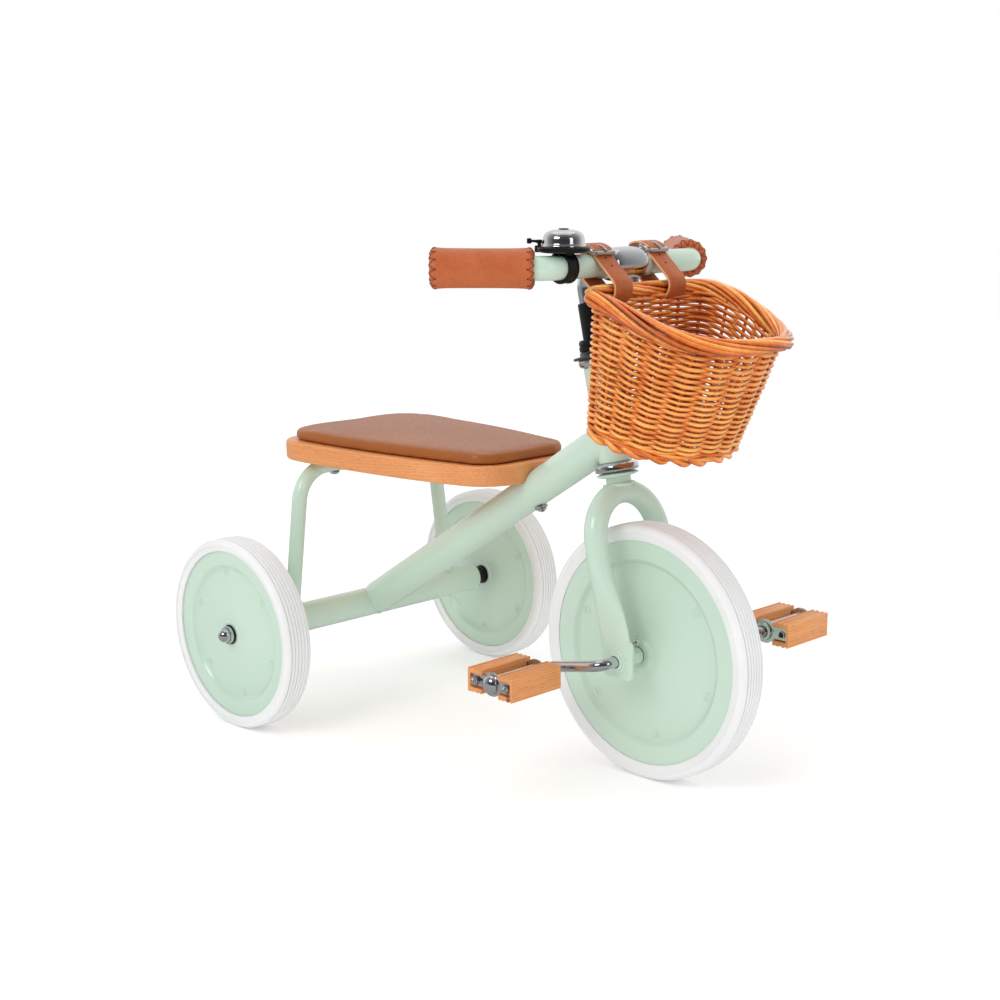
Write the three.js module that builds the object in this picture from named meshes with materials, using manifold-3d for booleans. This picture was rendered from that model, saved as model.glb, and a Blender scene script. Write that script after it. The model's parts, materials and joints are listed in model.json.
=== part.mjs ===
// A toddler's pedal tricycle: steel tube frame, disc wheels, wooden seat, pedals on the
// front wheel's crank, and a wicker basket strapped to the handlebar.
// Millimetres. +X is forward, +Y is the rider's left, +Z is up, and the floor is z = 0.
// Sizes are written with x = 0 at the rear axle; the last line centres the whole on the origin.

import * as THREE from 'three';
import { mergeVertices } from 'three/addons/utils/BufferGeometryUtils.js';
import Module from 'manifold-3d';

const wasm = await Module();
wasm.setup();

// ---------------------------------------------------------------- driving dimensions

const GAP = 0.3;                    // clearance between touching pieces
const WHEEL_ROUND = 28;             // sides of a tyre and its discs
const ROUND = 20;                   // sides of ordinary round pieces
const SMALL_ROUND = 10;             // sides of small round pieces

const FRONT_RADIUS = 127;
const FRONT_RIM = 112;
const REAR_RADIUS = 102;
const REAR_RIM = 90;
const TYRE_WIDTH = 33;
const WHEELBASE = 417;
const TRACK = 366;
const SHEET = 1.6;                  // stamped wheel disc thickness
const STEP_OUTER = 0.83;            // the disc's step down, as shares of the rim's radius
const STEP_INNER = 0.8;
const STEP_DEPTH = 4;
const HUB_FLAT = 20;                // the cone ends in a flat ring of this radius

const RAKE = THREE.MathUtils.degToRad(13);   // steering axis leans back from vertical
const STEER_X = 371;                // a point on the steering axis, just above the fork crown
const STEER_Z = 297.6;
const STEERER_RADIUS = 12.2;
const STEERER_BORE = 10.8;
const HEAD_BOTTOM = 9.7;            // along the steering axis from that point
const HEAD_TOP = 103.3;
const HEAD_RADIUS = 16;
const HEAD_BORE = 14.3;
const CUP_BORE = 13;
const LOWER_CUP_RADIUS = 21.5;
const UPPER_CUP_RADIUS = 20;
const WASHER_RADIUS = 24.5;
const LOCK_NUT_RADIUS = 17;

const BEAM_RADIUS = 15.9;
const BEAM_BORE = 14;
const BEAM_END = 153;
const PLUG_END = 168.4;             // the plug's neck reaches the wheel's hub
const PLUG_NECK = 10;
const PLUG_DEPTH = 14;              // how far the plug goes into the beam
const DOWN_TUBE_RADIUS = 18;
const TUBE_WALL = 1.8;              // wall of the bent and welded tubes
const DOWN_TUBE_SLOPE = THREE.MathUtils.degToRad(32.2);
const HOOP_X = -1;
const HOOP_RADIUS = 8;
const HOOP_TOP_HALF = 95;           // the hoop's half width at the seat
const HOOP_FOOT_HALF = 114;         // and where it meets the beam
const HOOP_BEND = 38;
const SEAT_BOLT_HALF = 50;
const FRONT_BOLT_X = 258;           // where the front seat bolt crosses the down tube's axis
const BOLT_HOLE = 3.4;
const BOARD_SHOULDER = 250;         // the board lies in a flat on the down tube up to here

const AXLE_RADIUS = 5;
const AXLE_HALF = 205;
const NUT_RADIUS = 9.5;
const NUT_HEIGHT = 12.2;

const BOARD_BOTTOM = 274;
const BOARD_THICK = 21;
const BOARD_REAR = -46;
const BOARD_FRONT = 261;
const BOARD_REAR_HALF = 99;
const BOARD_FRONT_HALF = 70;
const BOARD_REAR_CORNER = 44;
const BOARD_FRONT_CORNER = 36;
const PAD_INSET = 9;
const PAD_THICK = 13;
const PAD_FRONT_CORNER = 17;

const FORK_HALF = 45;               // fork leg centre from the mid-plane
const FORK_RADIUS = 11.3;
const FORK_TOP = -19;               // crown tube centre along the steering axis
const BRACKET_FACE = 50;            // outer face of the bearing bracket
const BRACKET_SHEET = 4;
const BRACKET_SIZE = 34;
const BOSS_RADIUS = 8.5;
const CRANK_RADIUS = 5.5;
const CRANK_LENGTH = 75;
const CRANK_ANGLE = THREE.MathUtils.degToRad(13);
const CRANK_HUB_HALF = 72;           // the rod bends here, this far out from the mid-plane,
const CRANK_ARM_HALF = 64;           // and again here, at the pedal's end of the arm
const CRANK_BEND = 12;

const PEDAL_INNER = 82;             // pedal's inner face from the mid-plane
const PEDAL_WIDTH = 66;
const PEDAL_LENGTH = 60;            // fore and aft
const PEDAL_HEIGHT = 24;
const BLOCK_LENGTH = 19;
const PLATE = 1.6;                  // pressed steel end plates
const PLATE_TAB_HALF = 5.5;         // half height of a plate's ends
const PLATE_MIDDLE_HALF = 9.5;      // and of its middle
const SLEEVE_RADIUS = 8;
const SPINDLE_CLEARANCE = 0.4;

const BAR_RADIUS = 11.1;
const BAR_X = 376.5;
const BAR_Z = 497;
const BAR_STRAIGHT = 90;            // half length of the straight middle
const BAR_BEND = 22;
const BAR_SWEEP = THREE.MathUtils.degToRad(47);
const GRIP_RADIUS = 18;
const GRIP_LENGTH = 93;
const GRIP_START = 4;               // past the end of the bend
const BARREL_HALF = 24;
const BARREL_RADIUS = 15;
const QUILL_RADIUS = 10;
const QUILL_BORE = 7.5;
const STEM_SLEEVE_RADIUS = 12;

const BELL_Y = -81;
const BELL_RADIUS = 20.5;
const BELL_HEIGHT = 15;
const BELL_SHEET = 1.4;
const BELL_PLATE_RADIUS = 23;
const LEVER_THICK = 3.2;
const LEVER_PAD_RADIUS = 2.2;

const BASKET_BACK = 392;
const BASKET_RIM_FRONT = 556;
const BASKET_RIM_HALF = 92;
const BASKET_RIM_Z = 482;
const BASKET_RIM_DIP = 41;
const BASKET_FOOT_BACK = 391;
const BASKET_FOOT_FRONT = 491;
const BASKET_FOOT_HALF = 78;
const BASKET_FOOT_Z = 349;
const BASKET_FOOT_SLOPE = 0.27;     // the hanging basket's floor drops towards the front
const BASKET_WALL = 7;
const BASKET_OVERHANG = 8;          // how far the rolled rim stands out over the wall
const BASKET_RIM_SHARE = 0.88;      // the rim takes up the rest of the height
const STRAP_Y = 38;
const STRAP_WIDTH = 24.5;
const STRAP_THICK = 2.4;

// ---------------------------------------------------------------- materials

const material = (color, roughness, metalness) =>
  new THREE.MeshStandardMaterial({ color, roughness, metalness });

const MINT = material(0xcbe2d0, 0.35, 0.1);
const CHROME = material(0xd8d8dc, 0.12, 1);
const STEEL = material(0xb8b8bc, 0.3, 1);
const BLACK = material(0x1c1c1e, 0.5, 0);
const NYLON = material(0x222224, 0.6, 0);
const TYRE = material(0xf0f0ee, 0.6, 0);
const BEECH = material(0xdca06e, 0.55, 0);
const PAD = material(0xa05f28, 0.55, 0);
const LEATHER = material(0xc06a40, 0.6, 0);
const WICKER = material(0xe09150, 0.5, 0);

// ---------------------------------------------------------------- solids and booleans

// A closed mesh as a manifold solid, turned right side out if its faces point inwards.
function solid(geometry) {
  const bare = geometry.index ? geometry.toNonIndexed() : geometry.clone();
  bare.deleteAttribute('normal');
  bare.deleteAttribute('uv');
  const merged = mergeVertices(bare, 1e-4);
  const position = merged.attributes.position;
  const index = Array.from(merged.index.array);
  const a = new THREE.Vector3();
  const b = new THREE.Vector3();
  const c = new THREE.Vector3();
  const triangles = [];
  let volume = 0;
  for (let i = 0; i < index.length; i += 3) {
    const [i0, i1, i2] = index.slice(i, i + 3);
    if (i0 === i1 || i1 === i2 || i2 === i0) continue;
    a.fromBufferAttribute(position, i0);
    b.fromBufferAttribute(position, i1);
    c.fromBufferAttribute(position, i2);
    volume += a.dot(b.cross(c));
    triangles.push([i0, i1, i2]);
  }
  const outward = volume > 0 ? triangles : triangles.map(([i0, i1, i2]) => [i0, i2, i1]);
  return new wasm.Manifold(new wasm.Mesh({
    numProp: 3,
    vertProperties: new Float32Array(position.array),
    triVerts: new Uint32Array(outward.flat()),
  }));
}

function geometryOf(manifold) {
  const mesh = manifold.getMesh();
  const geometry = new THREE.BufferGeometry();
  geometry.setAttribute('position', new THREE.BufferAttribute(mesh.vertProperties, 3));
  geometry.setIndex(new THREE.BufferAttribute(mesh.triVerts, 1));
  geometry.computeVertexNormals();
  return geometry;
}

const join = (first, ...rest) =>
  geometryOf(rest.reduce((whole, piece) => whole.add(solid(piece)), solid(first)));

const cut = (body, ...tools) =>
  geometryOf(tools.reduce((whole, tool) => whole.subtract(solid(tool)), solid(body)));

const trim = (body, region) => geometryOf(solid(body).intersect(solid(region)));

// ---------------------------------------------------------------- basic shapes

function box(sizeX, sizeY, sizeZ, x = 0, y = 0, z = 0) {
  return new THREE.BoxGeometry(sizeX, sizeY, sizeZ).translate(x, y, z);
}

// A round bar between two points.
function rod(radius, from, to, sides = ROUND) {
  const start = new THREE.Vector3(...from);
  const end = new THREE.Vector3(...to);
  const direction = end.clone().sub(start);
  const geometry = new THREE.CylinderGeometry(radius, radius, direction.length(), sides);
  const turn = new THREE.Quaternion().setFromUnitVectors(
    new THREE.Vector3(0, 1, 0),
    direction.clone().normalize(),
  );
  return geometry.applyQuaternion(turn).translate(
    (start.x + end.x) / 2,
    (start.y + end.y) / 2,
    (start.z + end.z) / 2,
  );
}

// A solid of revolution about Y from [radius, y] points; a closed ring repeats its first point.
function turnedY(profile, sides = ROUND) {
  return new THREE.LatheGeometry(profile.map(([r, y]) => new THREE.Vector2(r, y)), sides);
}

const turnedZ = (profile, sides = ROUND) => turnedY(profile, sides).rotateX(Math.PI / 2);

// A plain ring about Z.
function ringZ(outer, bore, low, high, sides = ROUND) {
  return turnedZ([[bore, low], [outer, low], [outer, high], [bore, high], [bore, low]], sides);
}

function ringY(outer, bore, low, high, sides = ROUND) {
  return turnedY([[bore, low], [outer, low], [outer, high], [bore, high], [bore, low]], sides);
}

// A round tube along a path, closed at both ends.
function bentTube(path, radius, steps, sides = SMALL_ROUND) {
  const section = new THREE.Shape();
  section.absarc(0, 0, radius, 0, 2 * Math.PI);
  return new THREE.ExtrudeGeometry(section, {
    extrudePath: path,
    steps,
    curveSegments: sides / 2,      // a full circle takes two divisions for each
    bevelEnabled: false,
  });
}

// Straight runs joined by corners that are close to arcs of the given radius.
class RoundedPath extends THREE.CurvePath {
  constructor(points, radius) {
    super();
    const corners = points.map((point) => new THREE.Vector3(...point));
    let last = corners[0];
    for (let i = 1; i < corners.length - 1; i += 1) {
      const back = corners[i - 1].clone().sub(corners[i]).normalize();
      const ahead = corners[i + 1].clone().sub(corners[i]).normalize();
      const reach = radius / Math.tan(back.angleTo(ahead) / 2);
      const enter = corners[i].clone().addScaledVector(back, reach);
      const leave = corners[i].clone().addScaledVector(ahead, reach);
      this.add(new THREE.LineCurve3(last, enter));
      this.add(new THREE.QuadraticBezierCurve3(enter, corners[i], leave));
      last = leave;
    }
    this.add(new THREE.LineCurve3(last, corners[corners.length - 1]));
  }
}

// A flat outline in XY, raised between two heights, with an optional small edge bevel.
function slab(shape, low, high, bevel = 0, curveSegments = 8) {
  return new THREE.ExtrudeGeometry(shape, {
    depth: high - low - 2 * bevel,
    bevelEnabled: bevel > 0,
    bevelThickness: bevel,
    bevelSize: bevel,
    bevelOffset: -bevel,
    bevelSegments: 1,
    curveSegments,
  }).translate(0, 0, low + bevel);
}

// ---------------------------------------------------------------- assembly helpers

const tricycle = new THREE.Group();
tricycle.name = 'pedal_tricycle';

// Pieces on the steering axis: local Z runs up along it and local X stays in the mid-plane.
const steering = new THREE.Group();
steering.position.set(STEER_X, 0, STEER_Z);
steering.rotation.y = -RAKE;
tricycle.add(steering);

const wheelCentres = {
  rear_right: [0, -TRACK / 2, REAR_RADIUS],
  rear_left: [0, TRACK / 2, REAR_RADIUS],
  front: [WHEELBASE, 0, FRONT_RADIUS],
};

function addPart(parent, name, geometry, look, position = [0, 0, 0]) {
  const mesh = new THREE.Mesh(geometry, look);
  mesh.name = name;
  mesh.position.set(...position);
  parent.add(mesh);
  return mesh;
}

// Geometry made in steering coordinates, moved into the tricycle's own coordinates.
function fromSteering(geometry) {
  return geometry.clone().rotateY(-RAKE).translate(STEER_X, 0, STEER_Z);
}

// Geometry made in the tricycle's coordinates, moved into steering coordinates.
function toSteering(geometry) {
  return geometry.clone().translate(-STEER_X, 0, -STEER_Z).rotateY(RAKE);
}

const SIDES = { right: -1, left: 1 };

// ---------------------------------------------------------------- wheels

function tyre(radius, rim) {
  const half = TYRE_WIDTH / 2;
  const inner = rim + GAP;
  return geometryOf(solid(turnedY([
    [inner, -half + 2], [rim + 4, -half], [radius - 5, -half], [radius, -half + 7],
    [radius, half - 7], [radius - 5, half], [rim + 4, half], [inner, half - 2], [inner, -half + 2],
  ], WHEEL_ROUND)));
}

// One stamped disc: a rim that turns in to the middle, a flat ring, a step and a cone to the hub.
function disc({ rim, face, hubFace, bore, side }) {
  const outside = [
    [rim, GAP], [rim, face], [rim * STEP_OUTER, face], [rim * STEP_INNER, face - STEP_DEPTH],
    [HUB_FLAT, hubFace], [bore, hubFace],
  ];
  const inside = [
    [bore, hubFace - SHEET], [HUB_FLAT, hubFace - SHEET], [rim * STEP_INNER, face - STEP_DEPTH - SHEET],
    [rim * STEP_OUTER, face - SHEET], [rim - SHEET, face - SHEET], [rim - SHEET, GAP],
  ];
  const profile = [...outside, ...inside, outside[0]].map(([r, y]) => [r, y * side]);
  return geometryOf(solid(turnedY(profile, WHEEL_ROUND)));
}

function addRearWheel(sideName) {
  const centre = wheelCentres[`rear_${sideName}`];
  const outward = SIDES[sideName];
  const sizes = { rim: REAR_RIM, face: 11.7, hubFace: 12.8, bore: 8.3 };
  addPart(tricycle, `rear_${sideName}_tyre`, tyre(REAR_RADIUS, REAR_RIM), TYRE, centre);
  addPart(tricycle, `rear_${sideName}_disc_outer`, disc({ ...sizes, side: outward }), MINT, centre);
  addPart(tricycle, `rear_${sideName}_disc_inner`, disc({ ...sizes, side: -outward }), MINT, centre);
  const bush = ringY(8, AXLE_RADIUS + SPINDLE_CLEARANCE, -13.6, 13.6, SMALL_ROUND);
  addPart(tricycle, `rear_${sideName}_hub_bush`, bush, NYLON, centre);
}

function addFrontWheel() {
  const centre = wheelCentres.front;
  const sizes = { rim: FRONT_RIM, face: 13, hubFace: 19, bore: 11.3 };
  addPart(tricycle, 'front_tyre', tyre(FRONT_RADIUS, FRONT_RIM), TYRE, centre);
  addPart(tricycle, 'front_disc_right', disc({ ...sizes, side: -1 }), MINT, centre);
  addPart(tricycle, 'front_disc_left', disc({ ...sizes, side: 1 }), MINT, centre);
  const sleeve = ringY(11, CRANK_RADIUS + GAP, -20, 20, SMALL_ROUND);
  addPart(tricycle, 'front_hub_sleeve', sleeve, STEEL, centre);
}

// ---------------------------------------------------------------- frame

function downTubePoint(x) {
  return [x, 0, REAR_RADIUS + x * Math.tan(DOWN_TUBE_SLOPE)];
}

const seatBoltDirection = new THREE.Vector3(-Math.sin(DOWN_TUBE_SLOPE), 0, Math.cos(DOWN_TUBE_SLOPE));

// A bar square to the down tube, along the front seat bolt's axis.
function alongFrontBolt(radius, from, to, sides = SMALL_ROUND) {
  const root = new THREE.Vector3(...downTubePoint(FRONT_BOLT_X));
  const start = root.clone().addScaledVector(seatBoltDirection, from);
  const end = root.clone().addScaledVector(seatBoltDirection, to);
  return rod(radius, start.toArray(), end.toArray(), sides);
}

function rearBeam() {
  const beam = ringY(BEAM_RADIUS, BEAM_BORE, -BEAM_END, BEAM_END);
  return geometryOf(solid(beam)).translate(0, 0, REAR_RADIUS);
}

function downTube() {
  const tube = rod(DOWN_TUBE_RADIUS, downTubePoint(0), downTubePoint(STEER_X + 1));
  const beam = rod(BEAM_RADIUS + GAP, [0, -40, REAR_RADIUS], [0, 40, REAR_RADIUS]);
  const head = fromSteering(rod(HEAD_RADIUS + GAP, [0, 0, -60], [0, 0, 160]));
  const lowerCup = fromSteering(rod(LOWER_CUP_RADIUS + 0.5, [0, 0, -60], [0, 0, HEAD_BOTTOM + GAP]));
  const beyondHead = fromSteering(box(120, 80, 260, 60, 0, 20));
  const bore = rod(DOWN_TUBE_RADIUS - TUBE_WALL, downTubePoint(-20), downTubePoint(390));
  const behindBeam = box(60, 80, 120, -30, 0, REAR_RADIUS - 20);
  const flat = box(120, 60, 40, BOARD_SHOULDER - 60, 0, BOARD_BOTTOM - GAP + 20);
  const boltHole = alongFrontBolt(BOLT_HOLE, -40, 40);
  return cut(tube, bore, beam, head, lowerCup, beyondHead, behindBeam, flat, boltHole);
}

function headTube() {
  return geometryOf(solid(turnedZ([
    [HEAD_BORE, HEAD_BOTTOM + GAP], [HEAD_RADIUS, HEAD_BOTTOM + GAP], [HEAD_RADIUS, HEAD_TOP],
    [HEAD_BORE, HEAD_TOP], [HEAD_BORE, HEAD_BOTTOM + GAP],
  ])));
}

function seatHoop() {
  const top = BOARD_BOTTOM - GAP - HOOP_RADIUS;
  const path = new RoundedPath([
    [HOOP_X, -HOOP_FOOT_HALF, REAR_RADIUS + 6], [HOOP_X, -HOOP_TOP_HALF, top],
    [HOOP_X, HOOP_TOP_HALF, top], [HOOP_X, HOOP_FOOT_HALF, REAR_RADIUS + 6],
  ], HOOP_BEND);
  const tube = bentTube(path, HOOP_RADIUS, 26, 10);
  const bore = bentTube(path, HOOP_RADIUS - TUBE_WALL, 26, 10);
  const beam = rod(BEAM_RADIUS + GAP, [0, -BEAM_END, REAR_RADIUS], [0, BEAM_END, REAR_RADIUS]);
  const below = box(60, 300, 60, 0, 0, REAR_RADIUS - 24);
  const holes = [-SEAT_BOLT_HALF, SEAT_BOLT_HALF].map((y) =>
    rod(BOLT_HOLE, [HOOP_X, y, top - 20], [HOOP_X, y, top + 20], SMALL_ROUND));
  return cut(tube, bore, beam, below, ...holes);
}

// A bolt with a low round head: head below, shank up along +Z, its tip at z = length.
function roundHeadBolt(headRadius, headHeight, shankRadius, length) {
  return turnedZ([
    [0, -headHeight], [headRadius * 0.6, -headHeight], [headRadius, -headHeight * 0.4],
    [headRadius, 0], [shankRadius, 0], [shankRadius, length], [0, length],
  ], SMALL_ROUND);
}

function addFrame() {
  addPart(tricycle, 'rear_beam', rearBeam(), MINT);
  addPart(tricycle, 'down_tube', downTube(), MINT);
  addPart(steering, 'head_tube', headTube(), MINT);
  addPart(tricycle, 'seat_hoop', seatHoop(), MINT);
}

function addRearAxle() {
  const axle = rod(AXLE_RADIUS, [0, -AXLE_HALF, REAR_RADIUS], [0, AXLE_HALF, REAR_RADIUS], SMALL_ROUND);
  addPart(tricycle, 'rear_axle', axle, STEEL);
  for (const [sideName, side] of Object.entries(SIDES)) {
    const at = (profile) => geometryOf(solid(turnedY(profile.map(([r, y]) => [r, y * side]), SMALL_ROUND)))
      .translate(0, 0, REAR_RADIUS);
    const bore = AXLE_RADIUS + GAP;
    addPart(tricycle, `axle_plug_${sideName}`, at([
      [bore, BEAM_END - PLUG_DEPTH], [BEAM_BORE - GAP, BEAM_END - PLUG_DEPTH],
      [BEAM_BORE - GAP, BEAM_END + GAP], [BEAM_RADIUS - 1, BEAM_END + GAP],
      [BEAM_RADIUS - 1, BEAM_END + 2.5], [PLUG_NECK, BEAM_END + 4], [PLUG_NECK, PLUG_END],
      [bore, PLUG_END], [bore, BEAM_END - PLUG_DEPTH],
    ]), NYLON);
    const hubEnd = TRACK / 2 + 13.9;
    addPart(tricycle, `axle_washer_${sideName}`, at([
      [bore, hubEnd], [10, hubEnd], [10, hubEnd + 1.6], [bore, hubEnd + 1.6], [bore, hubEnd],
    ]), BLACK);
    const nutFace = hubEnd + 1.9;
    addPart(tricycle, `axle_nut_${sideName}`, at([
      [bore, nutFace], [NUT_RADIUS, nutFace], [NUT_RADIUS, nutFace + 2.5],
      [NUT_RADIUS - 1.2, nutFace + NUT_HEIGHT * 0.55], [NUT_RADIUS * 0.55, nutFace + NUT_HEIGHT * 0.88],
      [0, nutFace + NUT_HEIGHT], [0, AXLE_HALF + GAP], [bore, AXLE_HALF + GAP], [bore, nutFace],
    ]), CHROME);
  }
}

// ---------------------------------------------------------------- seat

// The seat's plan: wide and round at the back, narrowing to a rounded front.
function seatOutline(inset, frontCorner) {
  const rear = BOARD_REAR + inset;
  const front = BOARD_FRONT - inset;
  const rearHalf = BOARD_REAR_HALF - inset;
  const frontHalf = BOARD_FRONT_HALF - inset;
  const rearCorner = BOARD_REAR_CORNER - inset / 2;
  const shape = new THREE.Shape();
  shape.moveTo(rear, -rearHalf + rearCorner);
  shape.quadraticCurveTo(rear, -rearHalf, rear + rearCorner, -rearHalf);
  shape.bezierCurveTo(
    rear + 130, -rearHalf + 1,
    front - 90, -frontHalf - 18,
    front - frontCorner, -frontHalf - 2,
  );
  shape.quadraticCurveTo(front - 4, -frontHalf + 6, front, -frontHalf + frontCorner + 6);
  shape.lineTo(front, frontHalf - frontCorner - 6);
  shape.quadraticCurveTo(front - 4, frontHalf - 6, front - frontCorner, frontHalf + 2);
  shape.bezierCurveTo(
    front - 90, frontHalf + 18,
    rear + 130, rearHalf - 1,
    rear + rearCorner, rearHalf,
  );
  shape.quadraticCurveTo(rear, rearHalf, rear, rearHalf - rearCorner);
  shape.closePath();
  return shape;
}

function addSeat() {
  const boardTop = BOARD_BOTTOM + BOARD_THICK;
  const board = slab(seatOutline(0, BOARD_FRONT_CORNER), BOARD_BOTTOM, boardTop, 2, 6);
  const tube = rod(DOWN_TUBE_RADIUS + GAP, downTubePoint(200), downTubePoint(330));
  const pocketRoom = trim(tube, box(60, 60, 60, BOARD_SHOULDER - GAP + 30, 0, BOARD_BOTTOM + 10));
  const boltHoles = [-SEAT_BOLT_HALF, SEAT_BOLT_HALF].map((y) =>
    rod(BOLT_HOLE, [HOOP_X, y, BOARD_BOTTOM - 5], [HOOP_X, y, BOARD_BOTTOM + 15], SMALL_ROUND));
  const frontHole = alongFrontBolt(BOLT_HOLE, -10, 33);
  addPart(tricycle, 'seat_board', cut(board, pocketRoom, ...boltHoles, frontHole), BEECH);
  const pad = slab(seatOutline(PAD_INSET, PAD_FRONT_CORNER), boardTop + GAP, boardTop + PAD_THICK, 3, 6);
  addPart(tricycle, 'seat_pad', geometryOf(solid(pad)), PAD);
  for (const [sideName, side] of Object.entries(SIDES)) {
    const head = BOARD_BOTTOM - 2 * HOOP_RADIUS - 2 * GAP;
    const bolt = roundHeadBolt(5.5, 3, 3, 28).translate(HOOP_X, side * SEAT_BOLT_HALF, head);
    addPart(tricycle, `seat_bolt_${sideName}`, geometryOf(solid(bolt)), CHROME);
  }
  const frontBolt = join(
    alongFrontBolt(3, -DOWN_TUBE_RADIUS - 2, 31),
    alongFrontBolt(6.5, -DOWN_TUBE_RADIUS - 4.2, -DOWN_TUBE_RADIUS - GAP),
    alongFrontBolt(4.6, -DOWN_TUBE_RADIUS - 7.2, -DOWN_TUBE_RADIUS - 4),
  );
  addPart(tricycle, 'seat_bolt_front', frontBolt, CHROME);
}

// ---------------------------------------------------------------- headset and fork

function addHeadset() {
  addPart(steering, 'crown_race', geometryOf(solid(turnedZ([
    [STEERER_RADIUS + GAP, -3.2], [20.5, -3.2], [20.5, -1.4], [17, 0.6], [STEERER_RADIUS + GAP, 0.6],
    [STEERER_RADIUS + GAP, -3.2],
  ]))), MINT);
  addPart(steering, 'lower_headset_cup', geometryOf(solid(turnedZ([
    [CUP_BORE, 1], [LOWER_CUP_RADIUS - 1, 1], [LOWER_CUP_RADIUS, 2], [LOWER_CUP_RADIUS, 7],
    [LOWER_CUP_RADIUS - 1.5, 8.6], [17.4, HEAD_BOTTOM],
    [HEAD_BORE - GAP, HEAD_BOTTOM], [HEAD_BORE - GAP, 16], [CUP_BORE, 16], [CUP_BORE, 1],
  ]))), CHROME);
  addPart(steering, 'upper_headset_cup', geometryOf(solid(turnedZ([
    [CUP_BORE, HEAD_TOP - 6], [HEAD_BORE - GAP, HEAD_TOP - 6], [HEAD_BORE - GAP, HEAD_TOP + GAP],
    [17.4, HEAD_TOP + GAP], [UPPER_CUP_RADIUS, HEAD_TOP + 3], [UPPER_CUP_RADIUS, HEAD_TOP + 8],
    [CUP_BORE, HEAD_TOP + 8],
    [CUP_BORE, HEAD_TOP - 6],
  ]))), CHROME);
  const cone = HEAD_TOP + 8.3;
  const bore = STEERER_RADIUS + GAP;
  addPart(steering, 'dust_washer', geometryOf(solid(turnedZ([
    [bore, cone], [WASHER_RADIUS, cone], [WASHER_RADIUS, cone + 2.4], [LOCK_NUT_RADIUS + 0.5, cone + 3.2],
    [LOCK_NUT_RADIUS + 0.5, cone + 7], [bore, cone + 7], [bore, cone],
  ]))), STEEL);
  addPart(steering, 'lock_nut', geometryOf(solid(turnedZ([
    [bore, cone + 7.3], [LOCK_NUT_RADIUS, cone + 7.3], [LOCK_NUT_RADIUS, cone + 15.5],
    [LOCK_NUT_RADIUS - 1.5, cone + 18.5], [bore, cone + 18.5],
    [bore, cone + 7.3],
  ]))), BLACK);
}

function forkLegPath() {
  const foot = -FRONT_RADIUS - 33;        // past the brackets, where the legs are trimmed
  const archCentre = FORK_TOP - FORK_HALF;
  const path = new THREE.CurvePath();
  const right = new THREE.Vector3(0, -FORK_HALF, archCentre);
  const left = new THREE.Vector3(0, FORK_HALF, archCentre);
  const top = new THREE.Vector3(0, 0, FORK_TOP);
  const k = 0.5523 * FORK_HALF;           // the handle length that makes a quarter circle
  path.add(new THREE.LineCurve3(new THREE.Vector3(0, -FORK_HALF, foot), right));
  path.add(new THREE.CubicBezierCurve3(
    right, new THREE.Vector3(0, -FORK_HALF, archCentre + k), new THREE.Vector3(0, -k, FORK_TOP), top));
  path.add(new THREE.CubicBezierCurve3(
    top, new THREE.Vector3(0, k, FORK_TOP), new THREE.Vector3(0, FORK_HALF, archCentre + k), left));
  path.add(new THREE.LineCurve3(left, new THREE.Vector3(0, FORK_HALF, foot)));
  return path;
}

const bracketTop = FRONT_RADIUS + 19;

function addFork() {
  const legs = bentTube(forkLegPath(), FORK_RADIUS, 26, 12);
  const legBore = bentTube(forkLegPath(), FORK_RADIUS - TUBE_WALL, 26, 12);
  const steerer = rod(STEERER_RADIUS, [0, 0, FORK_TOP - 2], [0, 0, HEAD_TOP + 26]);
  const bore = rod(STEERER_BORE, [0, 0, 20], [0, 0, HEAD_TOP + 40]);
  const belowBracketTop = toSteering(box(120, 160, 60, WHEELBASE, 0, bracketTop + GAP - 30));
  addPart(steering, 'fork', cut(join(legs, steerer), legBore, bore, belowBracketTop), MINT);

  for (const [sideName, side] of Object.entries(SIDES)) {
    const plateCentre = side * (BRACKET_FACE - BRACKET_SHEET / 2);
    const plate = box(BRACKET_SIZE, BRACKET_SHEET, bracketTop - FRONT_RADIUS + 17,
      0, plateCentre, (bracketTop - FRONT_RADIUS - 17) / 2);
    const boss = rod(BOSS_RADIUS, [0, side * 21.5, 0], [0, side * (BRACKET_FACE - 1), 0]);
    const bush = rod(BOSS_RADIUS, [0, side * (BRACKET_FACE - 1), 0], [0, side * (BRACKET_FACE + 3.5), 0]);
    const spindleRoom = rod(CRANK_RADIUS + SPINDLE_CLEARANCE, [0, side * 10, 0], [0, side * 70, 0]);
    const bracket = cut(join(plate, boss, bush), spindleRoom);
    addPart(tricycle, `fork_bracket_${sideName}`, bracket, MINT, wheelCentres.front);
  }
}

// ---------------------------------------------------------------- stem and handlebar

const barLocal = {
  x: (BAR_X - STEER_X) * Math.cos(RAKE) + (BAR_Z - STEER_Z) * Math.sin(RAKE),
  z: -(BAR_X - STEER_X) * Math.sin(RAKE) + (BAR_Z - STEER_Z) * Math.cos(RAKE),
};

const sleeveLow = HEAD_TOP + 27;
const sleeveHigh = HEAD_TOP + 58;

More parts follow.
